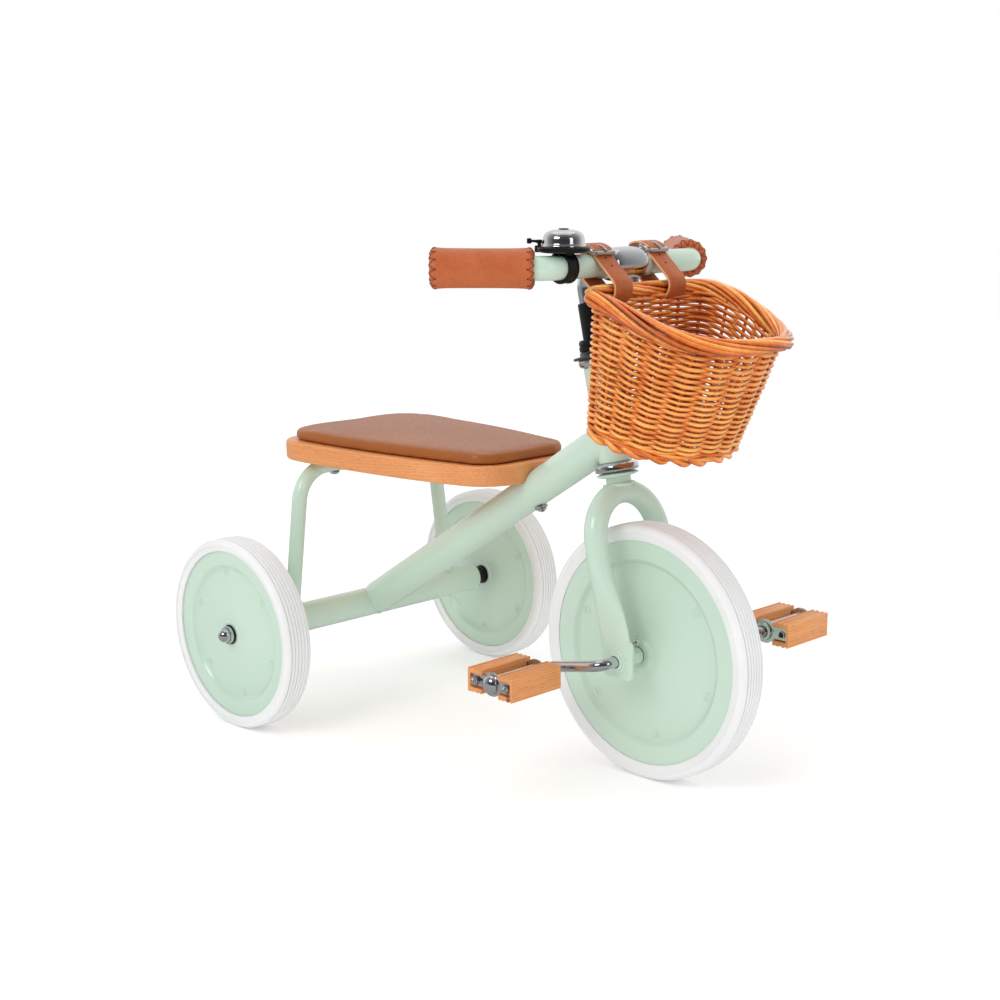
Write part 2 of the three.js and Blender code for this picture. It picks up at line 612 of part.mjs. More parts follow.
function addStem() {
  const quillFoot = 50;
  const path = new RoundedPath([[0, 0, quillFoot], [0, 0, barLocal.z + 5], [barLocal.x, 0, barLocal.z]], 16);
  const neck = bentTube(path, QUILL_RADIUS, 12, 14);
  const quillBore = rod(QUILL_BORE, [0, 0, quillFoot - 5], [0, 0, barLocal.z - 30]);
  const barrel = turnedY([
    [0, -BARREL_HALF], [BARREL_RADIUS - 2, -BARREL_HALF], [BARREL_RADIUS, -BARREL_HALF + 5],
    [BARREL_RADIUS, BARREL_HALF - 5], [BARREL_RADIUS - 2, BARREL_HALF], [0, BARREL_HALF],
  ]).translate(barLocal.x, 0, barLocal.z);
  const barRoom = rod(BAR_RADIUS + GAP, [barLocal.x, -40, barLocal.z], [barLocal.x, 40, barLocal.z]);
  const boltHole = stemBoltBar(2.8, -40, -BAR_RADIUS);
  addPart(steering, 'quill_stem', cut(join(neck, barrel), quillBore, barRoom, boltHole), CHROME);
  const sleeve = ringZ(STEM_SLEEVE_RADIUS, QUILL_RADIUS + GAP, sleeveLow, sleeveHigh, 24);
  addPart(steering, 'stem_sleeve', geometryOf(solid(sleeve)), BLACK);
  const bolt = join(
    stemBoltBar(2.5, -BARREL_RADIUS - 3, -BAR_RADIUS - 2 * GAP),
    stemBoltBar(4.5, -BARREL_RADIUS - 5, -BARREL_RADIUS - GAP),
  );
  addPart(steering, 'stem_clamp_bolt', bolt, STEEL);
}

// A bar along the clamp bolt's axis, which points straight up at the handlebar from below.
function stemBoltBar(radius, from, to) {
  const y = 12;
  return rod(radius, [barLocal.x, y, barLocal.z + from], [barLocal.x, y, barLocal.z + to], 12);
}

function barPoint(side, along) {
  const bendEndY = BAR_STRAIGHT + BAR_BEND * Math.sin(BAR_SWEEP);
  const bendEndX = BAR_X - BAR_BEND * (1 - Math.cos(BAR_SWEEP));
  return [
    bendEndX - along * Math.sin(BAR_SWEEP),
    side * (bendEndY + along * Math.cos(BAR_SWEEP)),
    BAR_Z,
  ];
}

function addHandlebar() {
  const corner = BAR_STRAIGHT + BAR_BEND * Math.tan(BAR_SWEEP / 2);
  const barEnd = GRIP_LENGTH - 3;         // inside the grip, short of its closed end
  const barPath = (end) => new RoundedPath([
    barPoint(-1, end), [BAR_X, -corner, BAR_Z], [BAR_X, corner, BAR_Z], barPoint(1, end),
  ], BAR_BEND);
  const bar = bentTube(barPath(barEnd + GRIP_START), BAR_RADIUS, 36, 14);
  const barBore = bentTube(barPath(barEnd + GRIP_START + 2), BAR_RADIUS - TUBE_WALL, 36, 14);
  addPart(tricycle, 'handlebar', cut(bar, barBore), MINT);
  for (const [sideName, side] of Object.entries(SIDES)) {
    const bore = BAR_RADIUS + GAP;
    const grip = turnedZ([
      [bore, 0], [GRIP_RADIUS - 2, 0], [GRIP_RADIUS, 3], [GRIP_RADIUS, GRIP_LENGTH - 3],
      [GRIP_RADIUS - 3, GRIP_LENGTH], [0, GRIP_LENGTH], [0, barEnd + GAP], [bore, barEnd + GAP], [bore, 0],
    ], 24).rotateX(-side * Math.PI / 2).rotateZ(side * BAR_SWEEP);
    addPart(tricycle, `grip_${sideName}`, geometryOf(solid(grip)), LEATHER, barPoint(side, GRIP_START));
  }
}

// ---------------------------------------------------------------- bell

const bellBase = BAR_Z + BAR_RADIUS + 2.2;
const bellTop = bellBase + 5;
const leverPost = { x: -21, y: -10 };

function addBell() {
  const centre = [BAR_X, BELL_Y, 0];
  const band = ringY(BAR_RADIUS + 3.6, BAR_RADIUS + GAP, -6, 6, 24).translate(0, 0, BAR_Z);
  const foot = box(18, 12, 6, 0, 0, bellBase - 1);
  const plate = rod(BELL_PLATE_RADIUS, [0, 0, bellBase], [0, 0, bellTop], 24);
  const post = rod(3.4, [0, 0, bellBase + 1], [0, 0, bellTop + BELL_HEIGHT - 5], SMALL_ROUND);
  const footRoom = rod(BAR_RADIUS + GAP, [0, -30, BAR_Z], [0, 30, BAR_Z], 24);
  const screwHole = rod(1.9, [0, 0, bellTop + 3], [0, 0, bellTop + 40], 12);
  const leverRoom = rod(
    1.7, [leverPost.x, leverPost.y, bellBase + 2], [leverPost.x, leverPost.y, bellTop + 9], 12);
  const ear = rod(4, [leverPost.x, leverPost.y, bellBase], [leverPost.x, leverPost.y, bellTop], 16);
  const base = cut(join(band, foot, plate, ear, post), footRoom, screwHole, leverRoom);
  addPart(tricycle, 'bell_base', base, BLACK, centre);

  const rim = bellTop + 0.8;
  const arc = [[1, 0], [0.97, 0.35], [0.83, 0.69], [0.56, 0.91], [0.2, 1]];
  const domeArc = (radius, height) => arc.map(([across, up]) => [radius * across, rim + height * up]);
  const outer = domeArc(BELL_RADIUS, BELL_HEIGHT);
  const inner = domeArc(BELL_RADIUS - BELL_SHEET, BELL_HEIGHT - BELL_SHEET).reverse();
  const hole = 3.2;
  const dome = turnedZ([...outer, [hole, rim + BELL_HEIGHT], [hole, rim + BELL_HEIGHT - BELL_SHEET],
    ...inner, outer[0]]);
  const leverSlot = box(14, 12, 9, -BELL_RADIUS, -9, rim + 4);
  addPart(tricycle, 'bell_dome', cut(dome, leverSlot), CHROME, centre);

  const screwSeat = rim + BELL_HEIGHT + GAP;
  const screw = turnedZ([
    [0, bellTop + 5], [1.6, bellTop + 5], [1.6, screwSeat], [4.2, screwSeat], [3.4, screwSeat + 1.1],
    [0, screwSeat + 1.3],
  ], SMALL_ROUND);
  addPart(tricycle, 'bell_screw', geometryOf(solid(screw)), BLACK, centre);

  const leverZ = bellTop + 4.6;
  const tip = { x: leverPost.x - 6, y: leverPost.y - 7.5 };
  const lever = join(
    rod(1.4, [leverPost.x, leverPost.y, bellBase + 2.4], [leverPost.x, leverPost.y, leverZ + 1], 12),
    rod(2.7, [leverPost.x, leverPost.y, leverZ - 1.7], [leverPost.x, leverPost.y, leverZ + 1.7], SMALL_ROUND),
    rod(LEVER_THICK / 2, [leverPost.x, leverPost.y, leverZ], [tip.x, tip.y, leverZ], 12),
    rod(LEVER_PAD_RADIUS, [tip.x, tip.y, leverZ - 2], [tip.x, tip.y, leverZ + 3], SMALL_ROUND),
  );
  addPart(tricycle, 'bell_lever', lever, BLACK, centre);
}

// ---------------------------------------------------------------- basket, straps, buckles

// Points round the basket's plan at one level: nearly square at the back, round at the front.
function basketRing(share, inset) {
  const mix = (foot, rim) => foot + (rim - foot) * share;
  const back = mix(BASKET_FOOT_BACK, BASKET_BACK) + inset;
  const front = mix(BASKET_FOOT_FRONT, BASKET_RIM_FRONT) - inset;
  const half = mix(BASKET_FOOT_HALF, BASKET_RIM_HALF) - inset;
  const waist = back + (front - back) * 0.3;
  const count = 32;
  return Array.from({ length: count }, (_, i) => {
    const angle = (2 * Math.PI * i) / count;
    const c = Math.cos(angle);
    const s = Math.sin(angle);
    const blunt = c > 0 ? 2.1 : 5;
    const reach = c > 0 ? front - waist : waist - back;
    const x = waist + reach * Math.sign(c) * Math.abs(c) ** (2 / blunt);
    const y = half * Math.sign(s) * Math.abs(s) ** (2 / blunt);
    const ahead = (x - back) / (front - back);
    const footZ = BASKET_FOOT_Z - BASKET_FOOT_SLOPE * (x - back);
    const rimZ = BASKET_RIM_Z - BASKET_RIM_DIP * Math.sin(ahead * Math.PI / 2) ** 2;
    return [x, y, mix(footZ, rimZ)];
  });
}

// A closed skin over a stack of rings with equal point counts.
function loft(rings) {
  const count = rings[0].length;
  const points = rings.flat();
  const middle = (ring) => [0, 1, 2].map((k) => ring.reduce((sum, p) => sum + p[k], 0) / count);
  points.push(middle(rings[0]), middle(rings[rings.length - 1]));
  const low = points.length - 2;
  const high = points.length - 1;
  const index = [];
  for (let i = 0; i < count; i += 1) {
    const next = (i + 1) % count;
    for (let r = 0; r < rings.length - 1; r += 1) {
      const a = r * count;
      const b = a + count;
      index.push(a + i, a + next, b + i, a + next, b + next, b + i);
    }
    const top = (rings.length - 1) * count;
    index.push(low, next, i, high, top + i, top + next);
  }
  const geometry = new THREE.BufferGeometry();
  geometry.setAttribute('position', new THREE.Float32BufferAttribute(points.flat(), 3));
  geometry.setIndex(index);
  return geometry;
}

const strapRim = { x: BASKET_BACK + BASKET_WALL, z: BASKET_RIM_Z - 5, radius: 11 };

// The outline of a belt pulled round the handlebar and the basket's back rim, in X and Z.
function beltShape(extra) {
  const bar = { x: BAR_X, z: BAR_Z, radius: BAR_RADIUS + GAP };
  const run = new THREE.Vector2(strapRim.x - bar.x, strapRim.z - bar.z);
  const tilt = run.angle();
  const spread = Math.acos((bar.radius - strapRim.radius) / run.length());
  const shape = new THREE.Shape();
  shape.absarc(bar.x, bar.z, bar.radius + extra, tilt + spread, tilt - spread + 2 * Math.PI);
  shape.absarc(strapRim.x, strapRim.z, strapRim.radius + extra, tilt - spread, tilt + spread);
  shape.closePath();
  return shape;
}

function belt(inner, outer, width) {
  const stand = (shape) => slab(shape, -width / 2, width / 2, 0, 10).rotateX(Math.PI / 2);
  return cut(stand(beltShape(outer)), stand(beltShape(inner)).scale(1, 2, 1));
}

function addBasket() {
  const lift = (ring, by) => ring.map(([x, y, z]) => [x, y, z + by]);
  const wallRing = (share, inset) => basketRing(share, inset + BASKET_OVERHANG * share);
  const outside = loft([
    wallRing(0, 0),
    wallRing(0.5, 0),
    wallRing(BASKET_RIM_SHARE - 0.03, 0),
    basketRing(BASKET_RIM_SHARE + 0.02, 0),
    basketRing(1, 0),
  ]);
  const inside = loft([
    lift(wallRing(0, BASKET_WALL), BASKET_WALL),
    wallRing(0.5, BASKET_WALL),
    wallRing(BASKET_RIM_SHARE, BASKET_WALL),
    lift(wallRing(1, BASKET_WALL), 12),
  ]);
  const strapRooms = Object.values(SIDES).map((side) =>
    belt(-GAP, STRAP_THICK + GAP, STRAP_WIDTH + 2 * GAP).translate(0, side * STRAP_Y, 0));
  addPart(tricycle, 'basket', cut(outside, inside, ...strapRooms), WICKER);
  for (const [sideName, side] of Object.entries(SIDES)) {
    const strap = belt(0, STRAP_THICK, STRAP_WIDTH);
    addPart(tricycle, `strap_${sideName}`, strap, LEATHER, [0, side * STRAP_Y, 0]);
    const frame = cut(box(16, STRAP_WIDTH + 4, 2.4), box(11, STRAP_WIDTH + 1, 6));
    const lean = THREE.MathUtils.degToRad(12);
    const high = BAR_Z + BAR_RADIUS + GAP + STRAP_THICK + 1.8;
    const buckle = addPart(tricycle, `buckle_${sideName}`, frame, STEEL, [BAR_X + 2, side * STRAP_Y, high]);
    buckle.rotation.y = lean;
  }
}

// ---------------------------------------------------------------- crank and pedals

// Each pedal's centre in X and Z, measured from the front hub.
const pedalCentres = {
  right: [-CRANK_LENGTH * Math.cos(CRANK_ANGLE), -CRANK_LENGTH * Math.sin(CRANK_ANGLE)],
  left: [CRANK_LENGTH * Math.cos(CRANK_ANGLE), CRANK_LENGTH * Math.sin(CRANK_ANGLE)],
};

function crankPath() {
  const end = PEDAL_INNER + PEDAL_WIDTH - 6;
  const [rightX, rightZ] = pedalCentres.right;
  const [leftX, leftZ] = pedalCentres.left;
  return new RoundedPath([
    [rightX, -end, rightZ], [rightX, -CRANK_ARM_HALF, rightZ], [0, -CRANK_HUB_HALF, 0],
    [0, CRANK_HUB_HALF, 0], [leftX, CRANK_ARM_HALF, leftZ], [leftX, end, leftZ],
  ], CRANK_BEND);
}

function addCrank() {
  const crank = bentTube(crankPath(), CRANK_RADIUS, 48, 8);
  addPart(tricycle, 'crank', geometryOf(solid(crank)), CHROME, wheelCentres.front);
}

// The diamond end plate, standing in XZ at one y.
function endPlate(y) {
  const half = PEDAL_LENGTH / 2 - 4;
  const middle = 10;
  const shape = new THREE.Shape();
  shape.moveTo(-half, -PLATE_TAB_HALF);
  shape.lineTo(-middle, -PLATE_MIDDLE_HALF);
  shape.lineTo(middle, -PLATE_MIDDLE_HALF);
  shape.lineTo(half, -PLATE_TAB_HALF);
  shape.lineTo(half, PLATE_TAB_HALF);
  shape.lineTo(middle, PLATE_MIDDLE_HALF);
  shape.lineTo(-middle, PLATE_MIDDLE_HALF);
  shape.lineTo(-half, PLATE_TAB_HALF);
  shape.closePath();
  return slab(shape, -PLATE / 2, PLATE / 2).rotateX(Math.PI / 2).translate(0, y, 0);
}

function addPedal(sideName) {
  const side = SIDES[sideName];
  const [x, z] = pedalCentres[sideName];
  const centre = [WHEELBASE + x, 0, FRONT_RADIUS + z];
  const inner = side * (PEDAL_INNER + 3);
  const outer = side * (PEDAL_INNER + PEDAL_WIDTH - 3);
  const middle = side * (PEDAL_INNER + PEDAL_WIDTH / 2);
  const blockX = PEDAL_LENGTH / 2 - BLOCK_LENGTH / 2;
  const plateRoom = [inner, outer].map((y) =>
    box(PEDAL_LENGTH - 7, PLATE + 2 * GAP + 5, 20, 0, y + Math.sign(y - middle) * 2.5, 0));
  for (const [place, sign] of [['front', 1], ['rear', -1]]) {
    const block = box(BLOCK_LENGTH, PEDAL_WIDTH, PEDAL_HEIGHT, sign * blockX, middle, 0);
    const tie = rod(2.4, [sign * blockX, inner - side, 0], [sign * blockX, outer + side, 0], 8);
    addPart(tricycle, `pedal_${sideName}_block_${place}`, cut(block, ...plateRoom, tie), BEECH, centre);
  }
  const far = PEDAL_INNER + PEDAL_WIDTH;
  const bore = CRANK_RADIUS + SPINDLE_CLEARANCE;
  const sleeve = turnedY([
    [bore, PEDAL_INNER - 1], [9, PEDAL_INNER - 1], [9, PEDAL_INNER + 5], [SLEEVE_RADIUS, PEDAL_INNER + 6],
    [SLEEVE_RADIUS, far - 4], [10, far - 3.5], [9.4, far + 1], [6.5, far + 4.4], [0, far + 6],
    [0, far - 4.5], [bore, far - 4.5], [bore, PEDAL_INNER - 1],
  ].map(([r, y]) => [r, y * side]), SMALL_ROUND);
  const ties = [-1, 1].map((sign) =>
    rod(1.9, [sign * blockX, inner, 0], [sign * blockX, outer, 0], 8));
  const spindleRoom = rod(bore, [0, side * (PEDAL_INNER - 4), 0], [0, side * (far - 4.5), 0], SMALL_ROUND);
  const cage = cut(join(sleeve, endPlate(inner), endPlate(outer), ...ties), spindleRoom);
  addPart(tricycle, `pedal_${sideName}_cage`, cage, STEEL, centre);
}

// ---------------------------------------------------------------- the whole tricycle

addFrame();
addRearAxle();
addSeat();
addHeadset();
addFork();
addStem();
addHandlebar();
addBell();
addBasket();
addCrank();
addFrontWheel();
for (const sideName of Object.keys(SIDES)) {
  addRearWheel(sideName);
  addPedal(sideName);
}

// The origin is under the middle of the length, on the floor.
tricycle.position.x = -(BASKET_RIM_FRONT - REAR_RADIUS) / 2;

export default tricycle;
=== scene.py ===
import json
import math
import random
from collections import namedtuple

import bmesh
import bpy
import numpy as np
from mathutils import Matrix, Vector


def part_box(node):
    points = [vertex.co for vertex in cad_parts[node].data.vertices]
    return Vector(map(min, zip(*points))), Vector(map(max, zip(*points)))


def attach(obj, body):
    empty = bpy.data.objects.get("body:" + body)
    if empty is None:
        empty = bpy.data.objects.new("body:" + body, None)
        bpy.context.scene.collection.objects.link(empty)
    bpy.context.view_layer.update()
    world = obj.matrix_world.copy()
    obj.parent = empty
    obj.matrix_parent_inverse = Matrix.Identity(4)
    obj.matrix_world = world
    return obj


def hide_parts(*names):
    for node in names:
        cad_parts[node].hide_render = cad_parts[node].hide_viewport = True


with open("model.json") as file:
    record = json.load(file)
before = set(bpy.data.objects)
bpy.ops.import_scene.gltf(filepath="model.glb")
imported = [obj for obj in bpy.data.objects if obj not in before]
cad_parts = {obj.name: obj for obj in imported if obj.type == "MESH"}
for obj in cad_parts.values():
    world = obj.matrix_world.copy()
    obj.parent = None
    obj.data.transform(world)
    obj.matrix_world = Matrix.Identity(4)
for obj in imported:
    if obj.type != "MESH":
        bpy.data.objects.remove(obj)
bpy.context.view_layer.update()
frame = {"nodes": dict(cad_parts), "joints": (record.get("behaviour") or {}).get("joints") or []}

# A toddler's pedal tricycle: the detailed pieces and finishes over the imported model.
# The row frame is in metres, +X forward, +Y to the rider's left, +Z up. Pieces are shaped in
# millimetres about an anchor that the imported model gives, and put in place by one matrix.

MM = 0.001
TAU = 2 * math.pi
GAP = 0.3                       # the model's clearance between touching pieces, in mm
rng = random.Random(7)


def new_object(name, data):
    """An object for some data, linked to the scene."""
    obj = bpy.data.objects.new(name, data)
    bpy.context.scene.collection.objects.link(obj)
    return obj


# ---------------------------------------------------------------- camera

CAMERA_AZIMUTH = 43.01
CAMERA_ELEVATION = 13.17
CAMERA_ROLL = 0.16
CAMERA_PLACE = (1.2146, -1.1971, 0.5939)
CAMERA_LENS = 60.67
CAMERA_SHIFT = (-0.0823, 0.0519)


def add_camera():
    data = bpy.data.cameras.new("camera")
    data.lens = CAMERA_LENS
    data.sensor_width = 36
    data.shift_x, data.shift_y = CAMERA_SHIFT
    camera = new_object("camera", data)
    camera.location = CAMERA_PLACE
    turn = Matrix.Rotation(math.radians(CAMERA_AZIMUTH), 3, "Z")
    tilt = Matrix.Rotation(math.radians(90 - CAMERA_ELEVATION), 3, "X")
    roll = Matrix.Rotation(math.radians(CAMERA_ROLL), 3, "Z")
    camera.rotation_euler = (turn @ tilt @ roll).to_euler()
    bpy.context.scene.camera = camera


add_camera()


# ---------------------------------------------------------------- anchors from the model

JOINTS = {joint["name"]: joint for joint in frame["joints"]}


def middle(node):
    low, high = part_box(node)
    return (low + high) / 2


def extent(node):
    """A node's size in mm."""
    low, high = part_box(node)
    return (high - low) / MM


def at(point):
    """Places millimetre shapes about a point, keeping the row frame's directions."""
    return Matrix.Translation(point) @ Matrix.Scale(MM, 4)


# The tricycle's own frame has x = 0 at the rear axle and z = 0 on the floor.
REAR_AXLE = middle("rear_beam")
TRIKE = at((REAR_AXLE.x, 0, 0))

STEER_POINT = Vector(JOINTS["steering"]["pos_m"])
STEER_AXIS = Vector(JOINTS["steering"]["axis"])
RAKE = math.atan2(-STEER_AXIS.x, STEER_AXIS.z)
STEER = Matrix.Translation(STEER_POINT) @ Matrix.Rotation(-RAKE, 4, "Y") @ Matrix.Scale(MM, 4)


def trike_mm(point):
    """A point of the row frame in the tricycle's own millimetres."""
    return TRIKE.inverted() @ Vector(point)


SIDES = {"right": -1, "left": 1}


# ---------------------------------------------------------------- mesh shapes

class Shape:
    """Vertices, faces and a tone for each vertex, in millimetres."""

    def __init__(self):
        self.points = []
        self.faces = []
        self.tones = []

    def add(self, points, faces, tone=0.5):
        base = len(self.points)
        self.points.extend([tuple(map(float, p)) for p in points])
        self.faces.extend([tuple(base + i for i in face) for face in faces])
        tones = np.broadcast_to(np.asarray(tone, float), (len(points),))
        self.tones.extend(tones.tolist())
        return self

    def moved(self, matrix):
        self.points = [tuple(matrix @ Vector(p)) for p in self.points]
        return self

    def shifted(self, x=0.0, y=0.0, z=0.0):
        return self.moved(Matrix.Translation((x, y, z)))

    def with_shape(self, other):
        return self.add(other.points, other.faces, other.tones)


def ring_faces(rows, count, wrap_rows=False):
    """Quads between consecutive rings of points."""
    faces = []
    last = rows if wrap_rows else rows - 1
    for r in range(last):
        a, b = r * count, ((r + 1) % rows) * count
        for i in range(count):
            j = (i + 1) % count
            faces.append((a + i, a + j, b + j, b + i))
    return faces


def skin(rings, closed=False, tone=0.5):
    """Joins rings of points in order, back to the first if closed and with flat ends if not."""
    count = len(rings[0])
    faces = ring_faces(len(rings), count, closed)
    if not closed:
        faces.append(tuple(range(count))[::-1])
        faces.append(tuple((len(rings) - 1) * count + i for i in range(count)))
    return Shape().add(np.concatenate(rings), faces, tone)


def around_y(radius, angle, y=0.0):
    """The point at that radius and angle about Y."""
    return (radius * math.cos(angle), y, radius * math.sin(angle))


def full_turn(count):
    return [TAU * k / count for k in range(count)]


def quarter_turn(steps, first=0):
    """Angles in even steps up to 90 degrees, starting at 0 or a later step."""
    return [math.pi / 2 * k / steps for k in range(first, steps + 1)]


def lathe(profile, sides=96, rise=0.0):
    """A solid of revolution about Y from (radius, y above rise) points; it is a closed ring if
    the profile ends where it starts."""
    closed = profile[0] == profile[-1]
    angles = full_turn(sides)
    rings = [[around_y(radius, a, y + rise) for a in angles]
             for radius, y in (profile[:-1] if closed else profile)]
    return skin(rings, closed)


def lathe_z(profile, sides=96, rise=0.0):
    return lathe(profile, sides, rise).moved(Matrix.Rotation(math.radians(90), 4, "X"))


def unit(v):
    v = np.asarray(v, float)
    return v / np.maximum(np.linalg.norm(v, axis=-1, keepdims=True), 1e-12)


def path_frames(path, closed, hint):
    """Tangent, normal and binormal at each point, turning as little as the path allows."""
    ahead = np.roll(path, -1, 0) - np.roll(path, 1, 0)
    if not closed:
        ahead[0] = path[1] - path[0]
        ahead[-1] = path[-1] - path[-2]
    tangent = unit(ahead)
    normal = np.empty_like(path)
    n = np.asarray(hint, float)
    for i, t in enumerate(tangent):
        n = unit(n - t * (n @ t))
        normal[i] = n
    return tangent, normal, np.cross(tangent, normal)


def sweep(path, section, closed=False, hint=(0, 0, 1), tone=0.5, sides=12, fixed=None, shade=0.0):
    """A tube along a path. section is a radius, one radius for each point, or a function from
    the point's number to a (sides, 2) outline across the normal and binormal. shade paints light
    and shade: it makes the side towards the hint that much lighter in tone than the middle and
    the far side as much darker."""
    path = np.asarray(path, float)
    tangent, normal, across = path_frames(path, closed, hint)
    if fixed is not None:                       # outlines that keep facing one way
        across = unit(np.cross(tangent, np.asarray(fixed, float)))
        normal = np.cross(across, tangent)
    angles = np.arange(sides) * TAU / sides
    circle = np.stack([np.cos(angles), np.sin(angles)], 1)
    rings = []
    for i in range(len(path)):
        if callable(section):
            outline = np.asarray(section(i), float)
        else:
            outline = circle * (section[i] if np.ndim(section) else section)
        rings.append(path[i] + outline[:, :1] * normal[i] + outline[:, 1:] * across[i])
    tones = np.repeat(np.broadcast_to(np.asarray(tone, float), len(rings)), len(rings[0]))
    # painted light and shade: the tone rises on the side towards the hint and falls on the far side
    if shade:
        tones = np.clip(tones + shade * np.tile(np.cos(angles), len(rings)), 0, 1)
    return skin(rings, closed, tones)


def arc_path(corners, radius, spacing=2.0):
    """Straight runs joined by true arcs, as evenly spaced points. radius may be a list."""
    corners = [np.asarray(c, float) for c in corners]
    radii = radius if np.ndim(radius) else [radius] * (len(corners) - 2)
    out = [corners[0]]

    def straight(to):
        start = out[-1].copy()
        steps = max(1, int(np.linalg.norm(to - start) / spacing))
        out.extend(start + (to - start) * k / steps for k in range(1, steps + 1))

    for before, corner, after, r in zip(corners, corners[1:], corners[2:], radii):
        back, ahead = unit(before - corner), unit(after - corner)
        half = math.acos(float(np.clip(back @ ahead, -1, 1))) / 2
        reach = r / math.tan(half)
        centre = corner + unit(back + ahead) * r / math.sin(half)
        straight(corner + back * reach)
        start = out[-1] - centre
        end = corner + ahead * reach - centre
        bend = math.pi - 2 * half
        steps = max(4, int(r * bend / spacing))
        for k in range(1, steps + 1):
            t = k / steps
            blend = math.sin((1 - t) * bend) * start + math.sin(t * bend) * end
            out.append(centre + blend / math.sin(bend))
    straight(corners[-1])
    return np.array(out)


def inset_outline(outline, distance):
    """A closed 2D outline moved inwards along its corners' normals."""
    p = np.asarray(outline, float)
    ahead = unit(np.roll(p, -1, 0) - p)
    behind = unit(p - np.roll(p, 1, 0))
    direction = unit(ahead + behind)
    inward = np.stack([-direction[:, 1], direction[:, 0]], 1)
    area = float(np.sum(p[:, 0] * np.roll(p[:, 1], -1) - np.roll(p[:, 0], -1) * p[:, 1]))
    return p + inward * distance * (1 if area > 0 else -1)


def stack(outline, levels):
    """A flat outline in XY at each (inset, height), joined and closed."""
    return skin([np.c_[inset_outline(outline, inset), np.full(len(outline), z)] for inset, z in levels])


def slab(outline, low, high, bevel, steps):
    """A flat outline in XY between two heights, with its edges rounded."""
    levels = [(bevel * (1 - math.sin(a)), low + bevel * (1 - math.cos(a))) for a in quarter_turn(steps)]
    levels += [(inset, low + high - z) for inset, z in reversed(levels)]
    return stack(outline, levels)


def bezier(p0, p1, p2, p3, steps):
    """Points of a cubic, without the first."""
    t = np.linspace(0, 1, steps + 1)[1:, None]
    p0, p1, p2, p3 = (np.asarray(p, float) for p in (p0, p1, p2, p3))
    return (1 - t) ** 3 * p0 + 3 * (1 - t) ** 2 * t * p1 + 3 * (1 - t) * t * t * p2 + t ** 3 * p3


def quadratic(p0, p1, p2, steps):
    p0, p1, p2 = (np.asarray(p, float) for p in (p0, p1, p2))
    return bezier(p0, p0 + (p1 - p0) * 2 / 3, p2 + (p1 - p2) * 2 / 3, p2, steps)


def rounded_box_outline(width, height, corner, steps=6):
    """A rectangle with round corners about the origin."""
    points = []
    for k, (sx, sy) in enumerate([(1, 1), (-1, 1), (-1, -1), (1, -1)]):
        for i in range(steps + 1):
            a = math.pi / 2 * (k + i / steps)
            points.append((sx * (width / 2 - corner) + corner * math.cos(a),
                           sy * (height / 2 - corner) + corner * math.sin(a)))
    return points


def smoothstep(low, high, value):
    t = np.clip((value - low) / (high - low), 0, 1)
    return t * t * (3 - 2 * t)


def mirrored(shape, side):
    """A shape made for the left side, turned over for the right if side is -1."""
    return shape if side > 0 else shape.moved(Matrix.Scale(-1, 4, (0, 1, 0)))


# ---------------------------------------------------------------- pieces

Finish = namedtuple("Finish", "slot look")      # the record's slot and the material that shows it


def piece(name, shape, place, body, finish, nodes=(), crease=35):
    """Makes a mesh object from a millimetre shape, puts it in place, and ties it to the frame."""
    mesh = bpy.data.meshes.new(name)
    points = [tuple(place @ Vector(p)) for p in shape.points]
    mesh.from_pydata(points, [], shape.faces)
    tone = mesh.attributes.new("tone", "FLOAT", "POINT")
    tone.data.foreach_set("value", np.asarray(shape.tones, np.float32))
    tidy = bmesh.new()
    tidy.from_mesh(mesh)
    bmesh.ops.remove_doubles(tidy, verts=tidy.verts, dist=1e-7)
    bmesh.ops.recalc_face_normals(tidy, faces=tidy.faces)
    tidy.to_mesh(mesh)
    tidy.free()
    mesh.shade_smooth()
    mesh.set_sharp_from_angle(angle=math.radians(crease))
    obj = new_object(name, mesh)
    mesh.materials.append(finish.look)
    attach(obj, body)
    if nodes:
        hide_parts(*nodes)
    return obj


# ---------------------------------------------------------------- materials

def srgb(red, green, blue):
    """A colour given in display values from 0 to 255, as the linear values that shaders use."""
    def linear(v):
        v /= 255
        return v / 12.92 if v <= 0.04045 else ((v + 0.055) / 1.055) ** 2.4
    return (linear(red), linear(green), linear(blue), 1.0)


def add_node(tree, kind, inputs=(), **settings):
    """A shader node with its settings; an input is either another node's output or a value."""
    node = tree.nodes.new(kind)
    for key, value in settings.items():
        setattr(node, key, value)
    for key, value in dict(inputs).items():
        if isinstance(value, bpy.types.NodeSocket):
            tree.links.new(value, node.inputs[key])
        else:
            node.inputs[key].default_value = value
    return node


def grey(value):
    return (value, value, value, 1)


